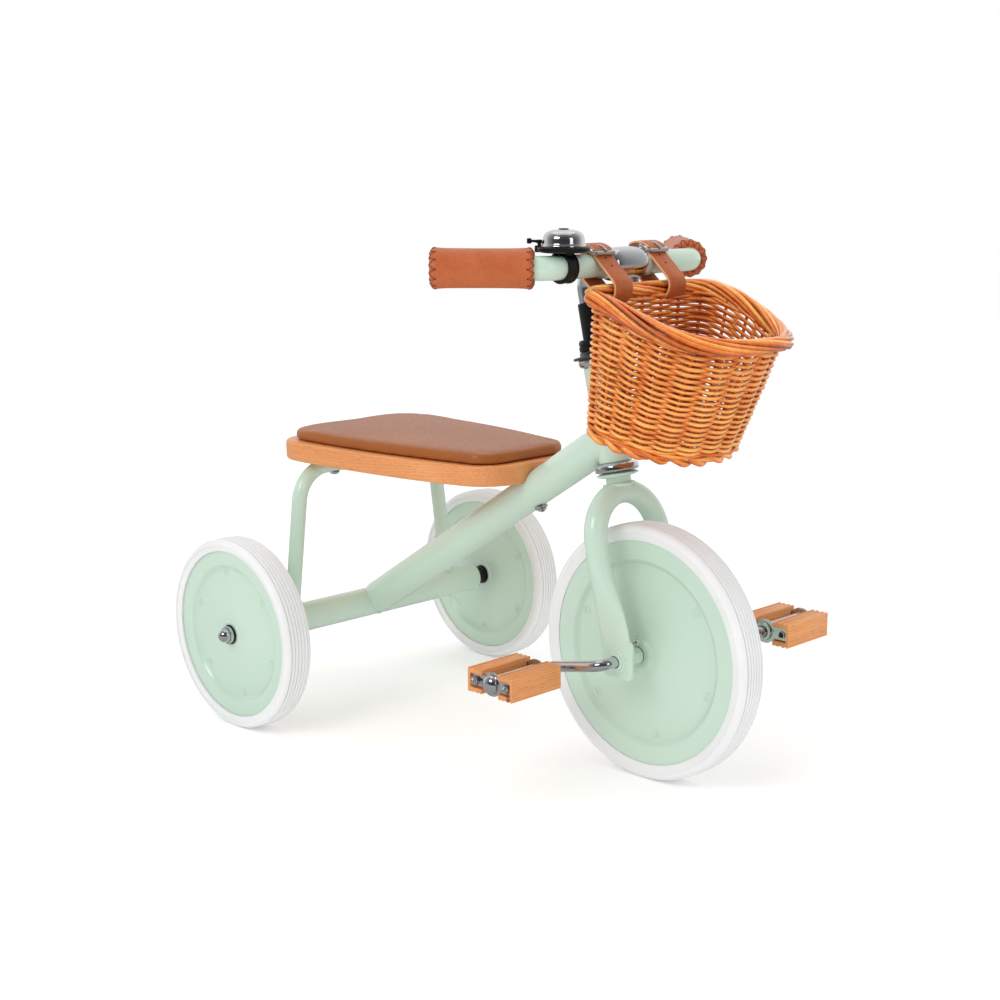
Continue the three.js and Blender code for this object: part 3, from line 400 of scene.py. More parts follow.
class Look:
    """A Principled material put together node by node."""

    def __init__(self, name, **sockets):
        self.material = bpy.data.materials.new(name)
        self.material.use_nodes = True
        self.tree = self.material.node_tree
        self.shader = self.tree.nodes["Principled BSDF"]
        self.place = self.tree.nodes.new("ShaderNodeTexCoord").outputs["Object"]
        for socket, value in sockets.items():
            self.shader.inputs[socket.replace("_", " ")].default_value = value

    def node(self, kind, inputs=(), **settings):
        return add_node(self.tree, kind, inputs, **settings)

    def scaled(self, stretch):
        """Object coordinates multiplied by a scale for each axis."""
        return self.node("ShaderNodeMapping", {"Vector": self.place, "Scale": stretch}).outputs[0]

    def noise(self, scale, detail=3.0, stretch=(1, 1, 1), distortion=0.0, roughness=0.5):
        return self.node("ShaderNodeTexNoise", {
            "Vector": self.scaled(stretch), "Scale": scale, "Detail": detail,
            "Distortion": distortion, "Roughness": roughness,
        }).outputs["Fac"]

    def cells(self, scale, stretch=(1, 1, 1), feature="F1"):
        return self.node("ShaderNodeTexVoronoi", {"Vector": self.scaled(stretch), "Scale": scale},
                         feature=feature).outputs["Distance"]

    def ramp(self, value, stops):
        """A colour ramp from (position, colour) stops."""
        node = self.node("ShaderNodeValToRGB", {"Fac": value})
        elements = node.color_ramp.elements
        while len(elements) < len(stops):
            elements.new(0.5)
        for element, (position, colour) in zip(elements, stops):
            element.position = position
            element.color = colour
        return node.outputs["Color"]

    def range(self, value, low, high, new_low, new_high):
        return self.node("ShaderNodeMapRange", {
            "Value": value, "From Min": low, "From Max": high, "To Min": new_low, "To Max": new_high,
        }).outputs[0]

    def math(self, operation, a, b=0.0):
        return self.node("ShaderNodeMath", {0: a, 1: b}, operation=operation).outputs[0]

    def from_line(self, point, axis):
        """Distance in metres from the line through a point along one axis."""
        flat = [1.0, 1.0, 1.0]
        flat[axis] = 0.0
        away = self.node("ShaderNodeVectorMath", {0: self.place, 1: point}, operation="SUBTRACT")
        across = self.node("ShaderNodeVectorMath", {0: away.outputs[0], 1: flat}, operation="MULTIPLY")
        return self.node("ShaderNodeVectorMath", {0: across.outputs[0]}, operation="LENGTH").outputs["Value"]

    def mix(self, share, a, b):
        return self.node("ShaderNodeMix", {0: share, 6: a, 7: b}, data_type="RGBA").outputs[2]

    def tone(self):
        """The tone stored on each vertex."""
        return self.node("ShaderNodeAttribute", attribute_name="tone").outputs["Fac"]

    def drive(self, socket, output):
        self.tree.links.new(output, self.shader.inputs[socket])
        return self

    def bump(self, *heights):
        """Bumps from (height, distance in mm, strength), each on top of the last."""
        normal = None
        for height, distance, strength in heights:
            inputs = {"Height": height, "Distance": distance * MM, "Strength": strength}
            if normal is not None:
                inputs["Normal"] = normal
            normal = self.node("ShaderNodeBump", inputs).outputs[0]
        self.tree.links.new(normal, self.shader.inputs["Normal"])
        return self


RING_PITCH = 0.0027              # metres between growth rings


def mint_paint():
    look = Look("mint_paint", Coat_Weight=0.9, Coat_Roughness=0.14, Specular_IOR_Level=0.5)
    cloud = look.noise(7, 2)
    look.drive("Base Color", look.ramp(cloud, [(0.3, srgb(192, 216, 198)), (0.7, srgb(199, 221, 204))]))
    look.drive("Roughness", look.range(look.noise(60, 3), 0.3, 0.7, 0.3, 0.42))
    look.bump((look.noise(520, 2), 0.04, 0.35))
    return look.material


def polished(name, colour, roughness, smudge):
    look = Look(name, Metallic=1.0)
    look.drive("Base Color", look.mix(look.noise(40, 3), colour, [c * 0.9 for c in colour[:3]] + [1]))
    look.drive("Roughness", look.range(look.noise(120, 4), 0.3, 0.8, roughness, roughness + smudge))
    look.bump((look.noise(900, 2), 0.01, 0.2))
    return look.material


def brushed(name, colour, stretch):
    look = Look(name, Metallic=1.0)
    lines = look.noise(300, 4, stretch)
    look.drive("Base Color", look.mix(lines, colour, [c * 0.78 for c in colour[:3]] + [1]))
    look.drive("Roughness", look.range(lines, 0.3, 0.7, 0.22, 0.4))
    look.bump((lines, 0.02, 0.3))
    return look.material


def black_plastic():
    look = Look("black_plastic", Specular_IOR_Level=0.35)
    look.drive("Base Color", look.ramp(look.noise(90, 3), [(0.3, srgb(8, 8, 10)), (0.75, srgb(16, 16, 18))]))
    look.drive("Roughness", look.range(look.noise(200, 4), 0.3, 0.7, 0.3, 0.48))
    look.bump((look.noise(1600, 2), 0.03, 0.4))
    return look.material


def white_rubber():
    look = Look("white_rubber", Specular_IOR_Level=0.35)
    body = look.ramp(look.noise(14, 4), [(0.3, srgb(226, 227, 227)), (0.7, srgb(234, 235, 235))])
    # painted shade: the tone darkens the tread's grooves towards this grey
    look.drive("Base Color", look.mix(look.range(look.tone(), 0.2, 1.0, 0.0, 0.6), body, srgb(176, 178, 180)))
    look.drive("Roughness", look.range(look.noise(80, 3), 0.3, 0.7, 0.5, 0.68))
    look.bump((look.noise(1100, 3), 0.04, 0.3))
    return look.material


def beech(name, grain, pith):
    """Lacquered beech: growth rings about the pith line along axis grain, with pores and flecks."""
    look = Look(name, Coat_Weight=0.35, Coat_Roughness=0.25, Specular_IOR_Level=0.45)

    def drawn(share):
        """A stretch that draws a pattern out along the grain."""
        return [share if axis == grain else 1.0 for axis in range(3)]

    along = drawn(0.06)
    slow = look.noise(22, 3, along, distortion=0.6)
    warp = look.math("MULTIPLY", look.noise(16, 3, along), 0.02)
    depth = look.math("ADD", look.from_line(pith, grain), warp)
    rings = look.math("SINE", look.math("MULTIPLY", depth, TAU / RING_PITCH))
    fine = look.noise(900, 3, drawn(0.03))
    fleck = look.range(look.cells(420, drawn(0.16)), 0.10, 0.22, 1.0, 0.0)
    knot = look.range(look.cells(15, along), 0.03, 0.06, 0.8, 0.0)
    base = look.ramp(slow, [
        (0.25, srgb(220, 138, 78)), (0.55, srgb(230, 154, 92)), (0.8, srgb(238, 172, 111)),
    ])
    ringed = look.mix(look.range(rings, -0.2, 1.0, 0.0, 0.3), base, srgb(202, 122, 66))
    fibred = look.mix(look.range(fine, 0.5, 0.8, 0.0, 0.55), ringed, srgb(180, 102, 52))
    flecked = look.mix(look.math("MULTIPLY", fleck, 0.5), fibred, srgb(164, 86, 42))
    look.drive("Base Color", look.mix(knot, flecked, srgb(120, 58, 26)))
    look.drive("Roughness", look.range(fine, 0.3, 0.7, 0.36, 0.5))
    look.bump((fine, 0.05, 0.35), (rings, 0.03, 0.2))
    return look.material


def pad_leatherette():
    look = Look("pad_leatherette", Specular_IOR_Level=0.6)
    cloud = look.noise(18, 4)
    look.drive("Base Color", look.ramp(cloud, [(0.3, srgb(152, 80, 16)), (0.7, srgb(164, 91, 24))]))
    look.drive("Roughness", look.range(look.noise(240, 4), 0.3, 0.7, 0.34, 0.46))
    grain = look.cells(1300, feature="SMOOTH_F1")
    look.bump((grain, 0.09, 0.5), (look.noise(70, 2), 0.2, 0.15))
    return look.material


def tan_leather(name, dark, light, pebble):
    """Leather with rounded pebbles about 1000 / pebble mm across."""
    look = Look(name, Specular_IOR_Level=0.5, Sheen_Weight=0.08, Sheen_Roughness=0.5)
    cloud = look.noise(55, 4)
    body = look.ramp(cloud, [(0.3, dark), (0.7, light)])
    grain = look.cells(pebble, feature="SMOOTH_F1")
    valleys = look.range(grain, 0.35, 0.75, 0.0, 0.55)
    shade = look.mix(valleys, body, [c * 0.55 for c in dark[:3]] + [1])
    edge = look.mix(look.range(look.tone(), 0.6, 1.0, 0.0, 1.0), shade, srgb(232, 172, 118))
    look.drive("Base Color", edge)
    look.drive("Roughness", look.range(look.noise(300, 3), 0.3, 0.7, 0.36, 0.5))
    look.bump((look.math("MULTIPLY", grain, -1.0), 0.22, 0.6), (look.noise(90, 3), 0.25, 0.2))
    return Finish("tan_leather", look.material)


def wicker():
    look = Look("wicker", Coat_Weight=0.9, Coat_Roughness=0.14, Specular_IOR_Level=0.4)
    streaks = look.noise(160, 5, distortion=0.8, roughness=0.65)
    patches = look.noise(34, 3)
    # The tone carries each rod's random colour and the weave's painted light and shade into the ramp.
    mixed = look.math("ADD", look.math("MULTIPLY", look.tone(), 0.62),
                      look.math("ADD", look.math("MULTIPLY", streaks, 0.34),
                                look.math("MULTIPLY", patches, 0.2)))
    look.drive("Base Color", look.ramp(mixed, [
        (0.22, srgb(84, 24, 3)), (0.42, srgb(194, 85, 18)),
        (0.62, srgb(235, 126, 38)), (0.9, srgb(255, 190, 102)),
    ]))
    look.drive("Roughness", look.range(streaks, 0.3, 0.7, 0.3, 0.5))
    look.bump((streaks, 0.22, 0.5), (look.noise(700, 3), 0.06, 0.4))
    return look.material


MINT = Finish("mint_paint", mint_paint())
CHROME = Finish("chrome", polished("chrome", (0.66, 0.67, 0.69, 1), 0.06, 0.09))
PLATED = Finish("bright_steel", CHROME.look)
STEEL = Finish("bright_steel", brushed("bright_steel", (0.66, 0.66, 0.67, 1), (1, 0.08, 1)))
DARK_STEEL = Finish("bright_steel", brushed("dark_steel", (0.16, 0.16, 0.175, 1), (0.08, 1, 1)))
BLACK = Finish("black_plastic", black_plastic())
RUBBER = Finish("white_rubber", white_rubber())
BEECH_BOARD = Finish("beech", beech("beech_board", 0, (0, -0.05, 0.19)))
BEECH_BLOCK = Finish("beech", beech("beech_block", 1, (0.2, 0, 0.03)))
PAD = Finish("pad_leatherette", pad_leatherette())
GRIP_LEATHER = tan_leather("grip_leather", srgb(184, 88, 36), srgb(198, 102, 47), 1500)
STRAP_LEATHER = tan_leather("strap_leather", srgb(170, 80, 24), srgb(188, 95, 33), 820)
LACE = tan_leather("lace_leather", srgb(132, 56, 26), srgb(150, 68, 34), 1800)
# Near-black discs that paint the shade inside the holes of the leather.
HOLE_SHADE = Finish("tan_leather", polished("painted_hole_shade", (0.02, 0.012, 0.008, 1), 0.6, 0.2))
WICKER = Finish("wicker", wicker())


# ---------------------------------------------------------------- wheels

TREAD_RIBS = 5
RIB_PITCH = 4.0
RIB_DEPTH = 1.0
TREAD_CROWN = 0.9               # how much lower the tread is at its edges
TYRE_SHOULDER = 6.5
TYRE_SIDES = 200


def tyre_shape(radius, rim, half, face):
    """A solid tyre. The tone is high at the bottom of the tread's grooves, where the rubber is painted darker
    as painted shade.
    """
    depth = radius - rim
    ribbed = TREAD_RIBS * RIB_PITCH / 2
    shoulder = TYRE_SHOULDER
    points = []
    tones = []
    for y in np.linspace(-half + shoulder, half - shoulder, 110):
        share = 0.0
        if abs(y) < ribbed + RIB_PITCH / 4:
            share = max(0.0, math.cos(TAU * (y + ribbed) / RIB_PITCH)) ** 5
        crown = TREAD_CROWN * (y / half) ** 2
        points.append((radius - crown - RIB_DEPTH * share, y))
        tones.append(share)
    edge = radius - TREAD_CROWN * (1 - shoulder / half) ** 2
    side = [(edge - shoulder * (1 - math.cos(a)), half - shoulder + shoulder * math.sin(a))
            for a in quarter_turn(8, 1)]
    side += [
        (rim + depth * 0.50, half), (rim + depth * 0.46, half - 0.5), (rim + depth * 0.42, half - 0.8),
        (rim + depth * 0.18, half - 1.0), (rim + depth * 0.10, half - 1.6), (rim - 0.7, half - 2.4),
        (rim - 1.0, face + 0.5), (rim - 0.9, face + 0.1), (rim + GAP, face + 0.1),
    ]
    points += side
    points += [(r, -y) for r, y in reversed(side)]
    tones += [0.0] * (len(points) - len(tones))
    points.append(points[0])
    tyre = lathe(points, TYRE_SIDES)
    tyre.tones = np.repeat(tones, TYRE_SIDES).tolist()
    return tyre


# How a wheel's discs stand out from its middle plane at the rim and the hub, and the radii of
# their bore and of the hub's collar.
Disc = namedtuple("Disc", "face hub_face bore hub_radius")
FRONT_DISC = Disc(face=13, hub_face=18.2, bore=11.4, hub_radius=15.5)
REAR_DISC = Disc(face=11.7, hub_face=12.0, bore=8.4, hub_radius=13)
DISC_SHEET = 1.4
STEP_RADIUS = 0.83              # the flat ring's inner edge, as a share of the rim radius
STEP_DEPTH = 4.6
CONE_RADIUS = 0.78              # the cone's outer edge, as a share of the rim radius
EMBOSS_RADIUS = 0.755           # the dimples' outer ends, as a share of the rim radius
DISC_ROUNDING = 0.8
DISC_SIDES = 264
EMBOSS_COUNT = 6
EMBOSS_DEPTH = 2.1
EMBOSS_LENGTH = 10.0
EMBOSS_HALF = 4.0


def disc_height(r, angle, rim, disc):
    """How far a stamped disc stands out at one radius: flat ring, step, cone, hub collar, dimples."""
    floor = disc.face - STEP_DEPTH
    step = smoothstep(STEP_RADIUS * rim - 6.5, STEP_RADIUS * rim + 0.5, r)
    foot = CONE_RADIUS * rim
    cone = floor + (disc.hub_face - floor) * np.clip((foot - r) / (foot - disc.hub_radius), 0, 1) ** 1.15
    height = cone * (1 - step) + disc.face * step
    height += 1.3 * smoothstep(disc.hub_radius + 2.2, disc.hub_radius + 0.4, r)
    sweep_mm = (((angle * EMBOSS_COUNT / TAU) + 0.5) % 1 - 0.5) * TAU / EMBOSS_COUNT * r
    outer = EMBOSS_RADIUS * rim
    across = np.clip(1 - (sweep_mm / EMBOSS_HALF) ** 2, 0, 1)
    inward = smoothstep(outer - EMBOSS_LENGTH, outer - 2.5, r) * smoothstep(outer + 0.8, outer - 0.4, r)
    return height - EMBOSS_DEPTH * across ** 0.6 * inward


def stamped_disc(rim, disc, side, start_angle):
    """One painted disc of DISC_SHEET thickness, with its edge turned in against the other."""
    shares = np.concatenate([
        np.linspace(disc.bore, disc.hub_radius + 3, 10),
        np.linspace(disc.hub_radius + 4, 0.62 * rim, 10)[:-1],
        np.linspace(0.62 * rim, 0.86 * rim, 34), np.linspace(0.88 * rim, rim - 2.2, 5),
    ])
    angles = np.arange(DISC_SIDES) * TAU / DISC_SIDES
    rings = []

    def ring(r, y):
        y = np.broadcast_to(y, angles.shape)
        rings.append(np.stack([r * np.cos(angles), y * side, r * np.sin(angles)], 1))

    for r in shares:
        ring(r, disc_height(r, angles + start_angle, rim, disc))
    for a in quarter_turn(6, 1):
        ring(rim - DISC_ROUNDING + DISC_ROUNDING * math.sin(a), disc.face - DISC_ROUNDING * (1 - math.cos(a)))
    ring(rim, GAP)
    ring(rim - DISC_SHEET, GAP)
    ring(rim - DISC_SHEET, disc.face - 2.4)
    ring(rim - 3.4, disc.face - DISC_SHEET)
    for r in shares[::-1][::3]:
        ring(r, disc_height(r, angles, rim, disc).mean() - DISC_SHEET)
    return skin(rings, True)


def add_wheel(prefix, disc, nodes):
    """A tyre and two stamped discs. nodes gives each disc's node and the side it is on."""
    centre = middle(prefix + "_tyre")
    size = extent(prefix + "_tyre")
    radius, half = size.z / 2, size.y / 2
    rim = extent(next(iter(nodes))).z / 2
    body = prefix + "_wheel"
    piece(prefix + "_tyre_ribbed", tyre_shape(radius, rim, half, disc.face), at(centre),
          body, RUBBER, [prefix + "_tyre"])
    for number, (node, side) in enumerate(nodes.items()):
        shape = stamped_disc(rim, disc, side, 0.35 + 0.2 * number)
        piece(node + "_stamped", shape, at(centre), body, MINT, [node], crease=50)


def add_front_hub():
    """A mint collar on each side of the front hub, up against the bracket's boss."""
    centre = middle("front_tyre")
    for name, side in SIDES.items():
        collar = lathe([
            (8.9, 18.6), (15.2, 18.6), (15.8, 19.2), (15.6, 20.2), (14.8, 20.9), (12.2, 21.1),
            (11.4, 20.8), (8.9, 20.8), (8.9, 18.6),
        ], 72)
        piece(f"front_hub_collar_{name}", mirrored(collar, side), at(centre), "front_wheel", MINT)


def add_wheels():
    add_wheel("front", FRONT_DISC, {"front_disc_right": -1, "front_disc_left": 1})
    add_front_hub()
    for name, side in SIDES.items():
        prefix = f"rear_{name}"
        add_wheel(prefix, REAR_DISC, {f"{prefix}_disc_outer": side, f"{prefix}_disc_inner": -side})
        collar = lathe([
            (5.5, 12.4), (10.5, 12.4), (11, 12.9), (11, 13.8), (10.4, 14.3), (7.5, 14.3), (7, 13.6),
            (5.5, 13.6), (5.5, 12.4),
        ], 64)
        piece(f"{prefix}_hub_collar", mirrored(collar, -side), at(middle(prefix + "_tyre")),
              f"{prefix}_wheel", BLACK)


add_wheels()


# ---------------------------------------------------------------- frame tubes

BEAM_RADIUS = extent("rear_beam").x / 2
BEAM_HALF = extent("rear_beam").y / 2
BEAM_BORE = BEAM_RADIUS - 1.9
AXLE_Z = trike_mm(REAR_AXLE).z
DOWN_TUBE_RADIUS = 18
DOWN_TUBE_SLOPE = math.radians(32.2)
HEAD_RADIUS = 16
HEAD_BORE = 14.4
HEAD_LOW, HEAD_HIGH = 10.0, 103.3
BOARD_BOTTOM = trike_mm(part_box("seat_board")[0]).z
BOARD_SHOULDER = 249            # where the board ends against the down tube


def weld_bead(path, radius, closed=False):
    """A painted weld: a thin rod with the ripples of its puddles."""
    steps = len(path)
    ripple = [radius * (1 + 0.14 * math.sin(k * 1.7) + 0.08 * rng.uniform(-1, 1)) for k in range(steps)]
    return sweep(path, ripple, closed=closed, sides=8)


def beam_weld(radius, direction, start, bead):
    """The weld where a tube of that radius, along direction from start, meets the rear beam."""
    direction = unit(direction)
    side = np.array([0.0, 1.0, 0.0])
    side = unit(side - direction * (side @ direction))
    third = np.cross(direction, side)
    points = []
    for a in full_turn(72):
        p = np.asarray(start, float) + radius * (math.cos(a) * side + math.sin(a) * third)
        q = (p - (0, 0, AXLE_Z)) * (1, 0, 1)
        d = direction * (1, 0, 1)
        b, c, e = d @ d, 2 * q @ d, q @ q - BEAM_RADIUS ** 2
        points.append(p + direction * (-c + math.sqrt(max(c * c - 4 * b * e, 0))) / (2 * b))
    return weld_bead(np.array(points), bead, True)


def down_tube_point(x):
    return np.array([x, 0, AXLE_Z + x * math.tan(DOWN_TUBE_SLOPE)])


def down_tube_shape():
    """The main tube, pressed flat on top where the seat board lies, up to a rounded shoulder."""
    start, end = down_tube_point(9), down_tube_point(369)
    path = np.linspace(start, end, 170)
    tube = sweep(path, DOWN_TUBE_RADIUS, sides=96, hint=(0, 1, 0))
    seat_plane = BOARD_BOTTOM - GAP
    pressed = []
    for x, y, z in tube.points:
        under = 1 - float(smoothstep(BOARD_SHOULDER - 1.5, BOARD_SHOULDER + 7, x))
        over = z - seat_plane
        if over > -2:
            drop = (over + 2) - 2 * (1 - math.exp(-(over + 2) / 2))
            z -= drop * under
        bulge = math.exp(-((z - seat_plane + 6) / 9) ** 2) * under * float(smoothstep(150, 215, x))
        y *= 1 + 0.07 * bulge
        pressed.append((x, y, z))
    tube.points = pressed
    return tube


def tube_profile(bore, radius, low, high, edge):
    """A tube's wall from low to high, with its outer edges cut by edge."""
    return [(bore, low), (radius - edge, low), (radius, low + edge), (radius, high - edge),
            (radius - edge, high), (bore, high), (bore, low)]


HOOP_RADIUS = 8
HOOP_X = trike_mm(middle("seat_hoop")).x
HOOP_TOP_HALF = 95
HOOP_FOOT_HALF = 114
HOOP_BEND = 38


def hoop_shape():
    top = BOARD_BOTTOM - GAP - HOOP_RADIUS
    foot = AXLE_Z + BEAM_RADIUS * 0.7
    path = arc_path([
        (HOOP_X, -HOOP_FOOT_HALF, foot), (HOOP_X, -HOOP_TOP_HALF, top),
        (HOOP_X, HOOP_TOP_HALF, top), (HOOP_X, HOOP_FOOT_HALF, foot),
    ], HOOP_BEND, 3)
    return sweep(path, HOOP_RADIUS, sides=40, hint=(1, 0, 0))


def add_frame():
    beam = lathe(tube_profile(BEAM_BORE, BEAM_RADIUS, -BEAM_HALF, BEAM_HALF, 0.5)).shifted(z=AXLE_Z)
    piece("rear_beam_tube", beam, TRIKE, "frame", MINT, ["rear_beam"])
    piece("down_tube_pressed", down_tube_shape(), TRIKE, "frame", MINT, ["down_tube"])
    head = lathe_z(tube_profile(HEAD_BORE, HEAD_RADIUS, HEAD_LOW, HEAD_HIGH, 0.8))
    piece("head_tube_round", head, STEER, "frame", MINT, ["head_tube"])
    piece("seat_hoop_bent", hoop_shape(), TRIKE, "frame", MINT, ["seat_hoop"])
    slope = (math.cos(DOWN_TUBE_SLOPE), 0, math.sin(DOWN_TUBE_SLOPE))
    welds = beam_weld(DOWN_TUBE_RADIUS - 2.1, slope, down_tube_point(0), 1.5)
    for side in SIDES.values():
        lean = (0, (HOOP_TOP_HALF - HOOP_FOOT_HALF) * side, BOARD_BOTTOM - AXLE_Z - 24)
        welds.with_shape(beam_weld(HOOP_RADIUS + 0.2, lean, (HOOP_X, HOOP_FOOT_HALF * side, AXLE_Z), 1.1))
    piece("frame_welds", welds, TRIKE, "frame", MINT, crease=60)


def acorn_nut(radius, height, dome_radius, flange):
    """A domed cap nut on +Y: a round flange, then the cap."""
    profile = [(0.0, 0.0), (radius - 0.3, 0.0), (radius, 0.3), (radius, flange - 0.4), (radius - 0.5, flange)]
    cap = height - flange - 0.15
    profile += [(dome_radius * math.cos(a) + 0.01, flange + 0.15 + cap * math.sin(a))
                for a in quarter_turn(8)]
    return lathe(profile, 64)


def add_axle_end(name, side):
    """The domed nut, the washer and the plug in the beam's end, each about the axle."""
    corner = 0 if side < 0 else 1
    nut_size = extent(f"axle_nut_{name}")
    nut_y = trike_mm(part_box(f"axle_nut_{name}")[corner]).y * side - nut_size.y
    nut = acorn_nut(nut_size.z / 2, nut_size.y, nut_size.z / 2 - 1.9, 3.4).shifted(y=nut_y)
    washer = lathe([
        (5.4, 0), (10.2, 0), (10.6, 0.5), (10.6, 1.2), (10.1, 1.6), (5.4, 1.6), (5.4, 0),
    ], 64, nut_y - GAP - 1.6)
    bore, end = BEAM_BORE - GAP, BEAM_HALF
    hub = trike_mm(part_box(f"axle_plug_{name}")[corner]).y * side
    plug = lathe([
        (5.4, end - 13.8), (bore, end - 13.8), (bore, end + 0.4), (BEAM_RADIUS - 1.2, end + 0.6),
        (BEAM_RADIUS - 0.9, end + 1.2), (BEAM_RADIUS - 1.3, end + 1.8), (11.4, end + 2.4),
        (10.4, end + 3.4), (9.8, end + 4.4), (9.8, hub - 5.6), (9.2, hub - 5.2), (9.2, hub - 4.4),
        (9.8, hub - 4), (9.8, hub - 0.6), (9.2, hub), (7, hub), (6.6, hub - 1.4), (5.4, hub - 1.4),
        (5.4, end - 13.8),
    ], 72)
    for part, ending, shape, finish in (("nut", "domed", nut, CHROME), ("washer", "round", washer, BLACK),
                                        ("plug", "turned", plug, BLACK)):
        node = f"axle_{part}_{name}"
        piece(f"{node}_{ending}", mirrored(shape.shifted(z=AXLE_Z), side), TRIKE, "frame", finish, [node])


add_frame()
for name, side in SIDES.items():
    add_axle_end(name, side)


# ---------------------------------------------------------------- seat

BOARD_LOW, BOARD_HIGH = (trike_mm(corner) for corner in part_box("seat_board"))
PAD_LOW, PAD_HIGH = (trike_mm(corner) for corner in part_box("seat_pad"))
BOARD_FRONT_HALF = 70
BOARD_REAR_CORNER = 44
BOARD_FRONT_CORNER = 36
PAD_INSET = 9
PAD_FRONT_CORNER = 17
SEAT_BOLT_HALF = 50


def seat_outline(rear, front, rear_half, front_half, rear_corner, front_corner, steps=14):
    """The seat's plan: wide and round at the back, narrowing to a rounded front."""
    start = (rear, -rear_half + rear_corner)
    widest = (rear + rear_corner, -rear_half)
    turn = (front - front_corner, -front_half - 2)
    half = np.concatenate([
        [start], quadratic(start, (rear, -rear_half), widest, steps),
        bezier(widest, (rear + 130, -rear_half + 1), (front - 90, -front_half - 18), turn, 3 * steps),
        quadratic(turn, (front - 4, -front_half + 6), (front, -front_half + front_corner + 6), steps),
    ])
    return np.concatenate([half, half[::-1] * (1, -1)])


def board_shape():
    outline = seat_outline(BOARD_LOW.x, BOARD_HIGH.x, BOARD_HIGH.y, BOARD_FRONT_HALF,
                           BOARD_REAR_CORNER, BOARD_FRONT_CORNER)
    return slab(outline, BOARD_LOW.z, BOARD_HIGH.z, 3.2, 6)


def carve_tube_pocket(board):
    """Cuts away where the down tube's shoulder rises through the board's front end."""
    tube = sweep(np.linspace(down_tube_point(210), down_tube_point(330), 40), DOWN_TUBE_RADIUS + 0.5,
                 sides=64, hint=(0, 1, 0))
    mesh = bpy.data.meshes.new("pocket")
    mesh.from_pydata([tuple(TRIKE @ Vector(p)) for p in tube.points], [], tube.faces)
    cutter = new_object("pocket", mesh)
    tidy = bmesh.new()
    tidy.from_mesh(mesh)
    bmesh.ops.recalc_face_normals(tidy, faces=tidy.faces)
    behind = TRIKE @ Vector((BOARD_SHOULDER + 0.5, 0, 0))
    bmesh.ops.bisect_plane(tidy, geom=tidy.verts[:] + tidy.edges[:] + tidy.faces[:], plane_co=behind,
                           plane_no=(-1, 0, 0), clear_outer=True)
    bmesh.ops.holes_fill(tidy, edges=[e for e in tidy.edges if e.is_boundary])
    bmesh.ops.recalc_face_normals(tidy, faces=tidy.faces)
    tidy.to_mesh(mesh)
    tidy.free()
    cut = board.modifiers.new("pocket", "BOOLEAN")
    cut.operation = "DIFFERENCE"
    cut.solver = "EXACT"
    cut.object = cutter
    apply_modifiers(board)
    bpy.data.objects.remove(cutter)
    board.data.shade_smooth()
    board.data.set_sharp_from_angle(angle=math.radians(35))


def apply_modifiers(obj):
    """Bakes an object's modifiers into its mesh."""
    graph = bpy.context.evaluated_depsgraph_get()
    graph.update()
    mesh = bpy.data.meshes.new_from_object(obj.evaluated_get(graph), preserve_all_data_layers=True,
                                           depsgraph=graph)
    obj.modifiers.clear()
    old = obj.data
    obj.data = mesh
    bpy.data.meshes.remove(old)


PAD_EDGE = 4.0
PAD_CROWN = 1.0
PAD_CROWN_HALF = 80             # how far to each side the crown reaches


def pad_shape():
    """The pad before it is stuffed: a flat bottom, upright sides and a round upper edge."""
    low, high = PAD_LOW.z, PAD_HIGH.z - 1.2
    outline = seat_outline(BOARD_LOW.x + PAD_INSET, BOARD_HIGH.x - PAD_INSET, BOARD_HIGH.y - PAD_INSET,
                           BOARD_FRONT_HALF - PAD_INSET, BOARD_REAR_CORNER - PAD_INSET / 2, PAD_FRONT_CORNER)
    levels = [(2.2, low), (0.8, low + 0.7), (0.2, low + 2.4)]
    levels += [(0.2 + PAD_EDGE * (1 - math.cos(a)), high - PAD_EDGE + PAD_EDGE * math.sin(a))
               for a in quarter_turn(7, 1)]
    return stack(outline, levels)


def vertex_places(obj):
    return np.array([v.co for v in obj.data.vertices], float)


def set_vertex_places(obj, points):
    obj.data.vertices.foreach_set("co", points.astype(np.float32).ravel())


def stuff(pad, voxel, pressure, cap, frames=20):
    """Swells a pad by cloth pressure over a pinned flat bottom, then smooths it. voxel and cap,
    the most that a point may move, are in mm."""
    remesh = pad.modifiers.new("remesh", "REMESH")
    remesh.mode = "VOXEL"
    remesh.voxel_size = voxel * MM
    apply_modifiers(pad)
    rest = vertex_places(pad)
    bottom = rest[:, 2].min()
    pinned = pad.vertex_groups.new(name="pinned")
    pinned.add([i for i, p in enumerate(rest) if p[2] < bottom + 2.2 * MM], 1.0, "REPLACE")
    cloth = pad.modifiers.new("cloth", "CLOTH")
    cloth.settings.use_pressure = True
    cloth.settings.uniform_pressure_force = pressure
    cloth.settings.effector_weights.gravity = 0
    cloth.settings.vertex_group_mass = "pinned"
    cloth.settings.quality = 6
    cloth.point_cache.frame_end = frames
    for number in range(1, frames + 1):
        bpy.context.scene.frame_set(number)
    apply_modifiers(pad)
    bpy.context.scene.frame_set(1)
    moved = vertex_places(pad) - rest
    length = np.linalg.norm(moved, axis=1, keepdims=True)
    rest = rest + moved * np.minimum(1, cap * MM / np.maximum(length, 1e-9))
    pad.vertex_groups.clear()
    set_vertex_places(pad, rest)
    smooth = pad.modifiers.new("smooth", "SMOOTH")
    smooth.factor = 0.5
    smooth.iterations = 2
    fine = pad.modifiers.new("fine", "SUBSURF")
    fine.levels = fine.render_levels = 1
    apply_modifiers(pad)


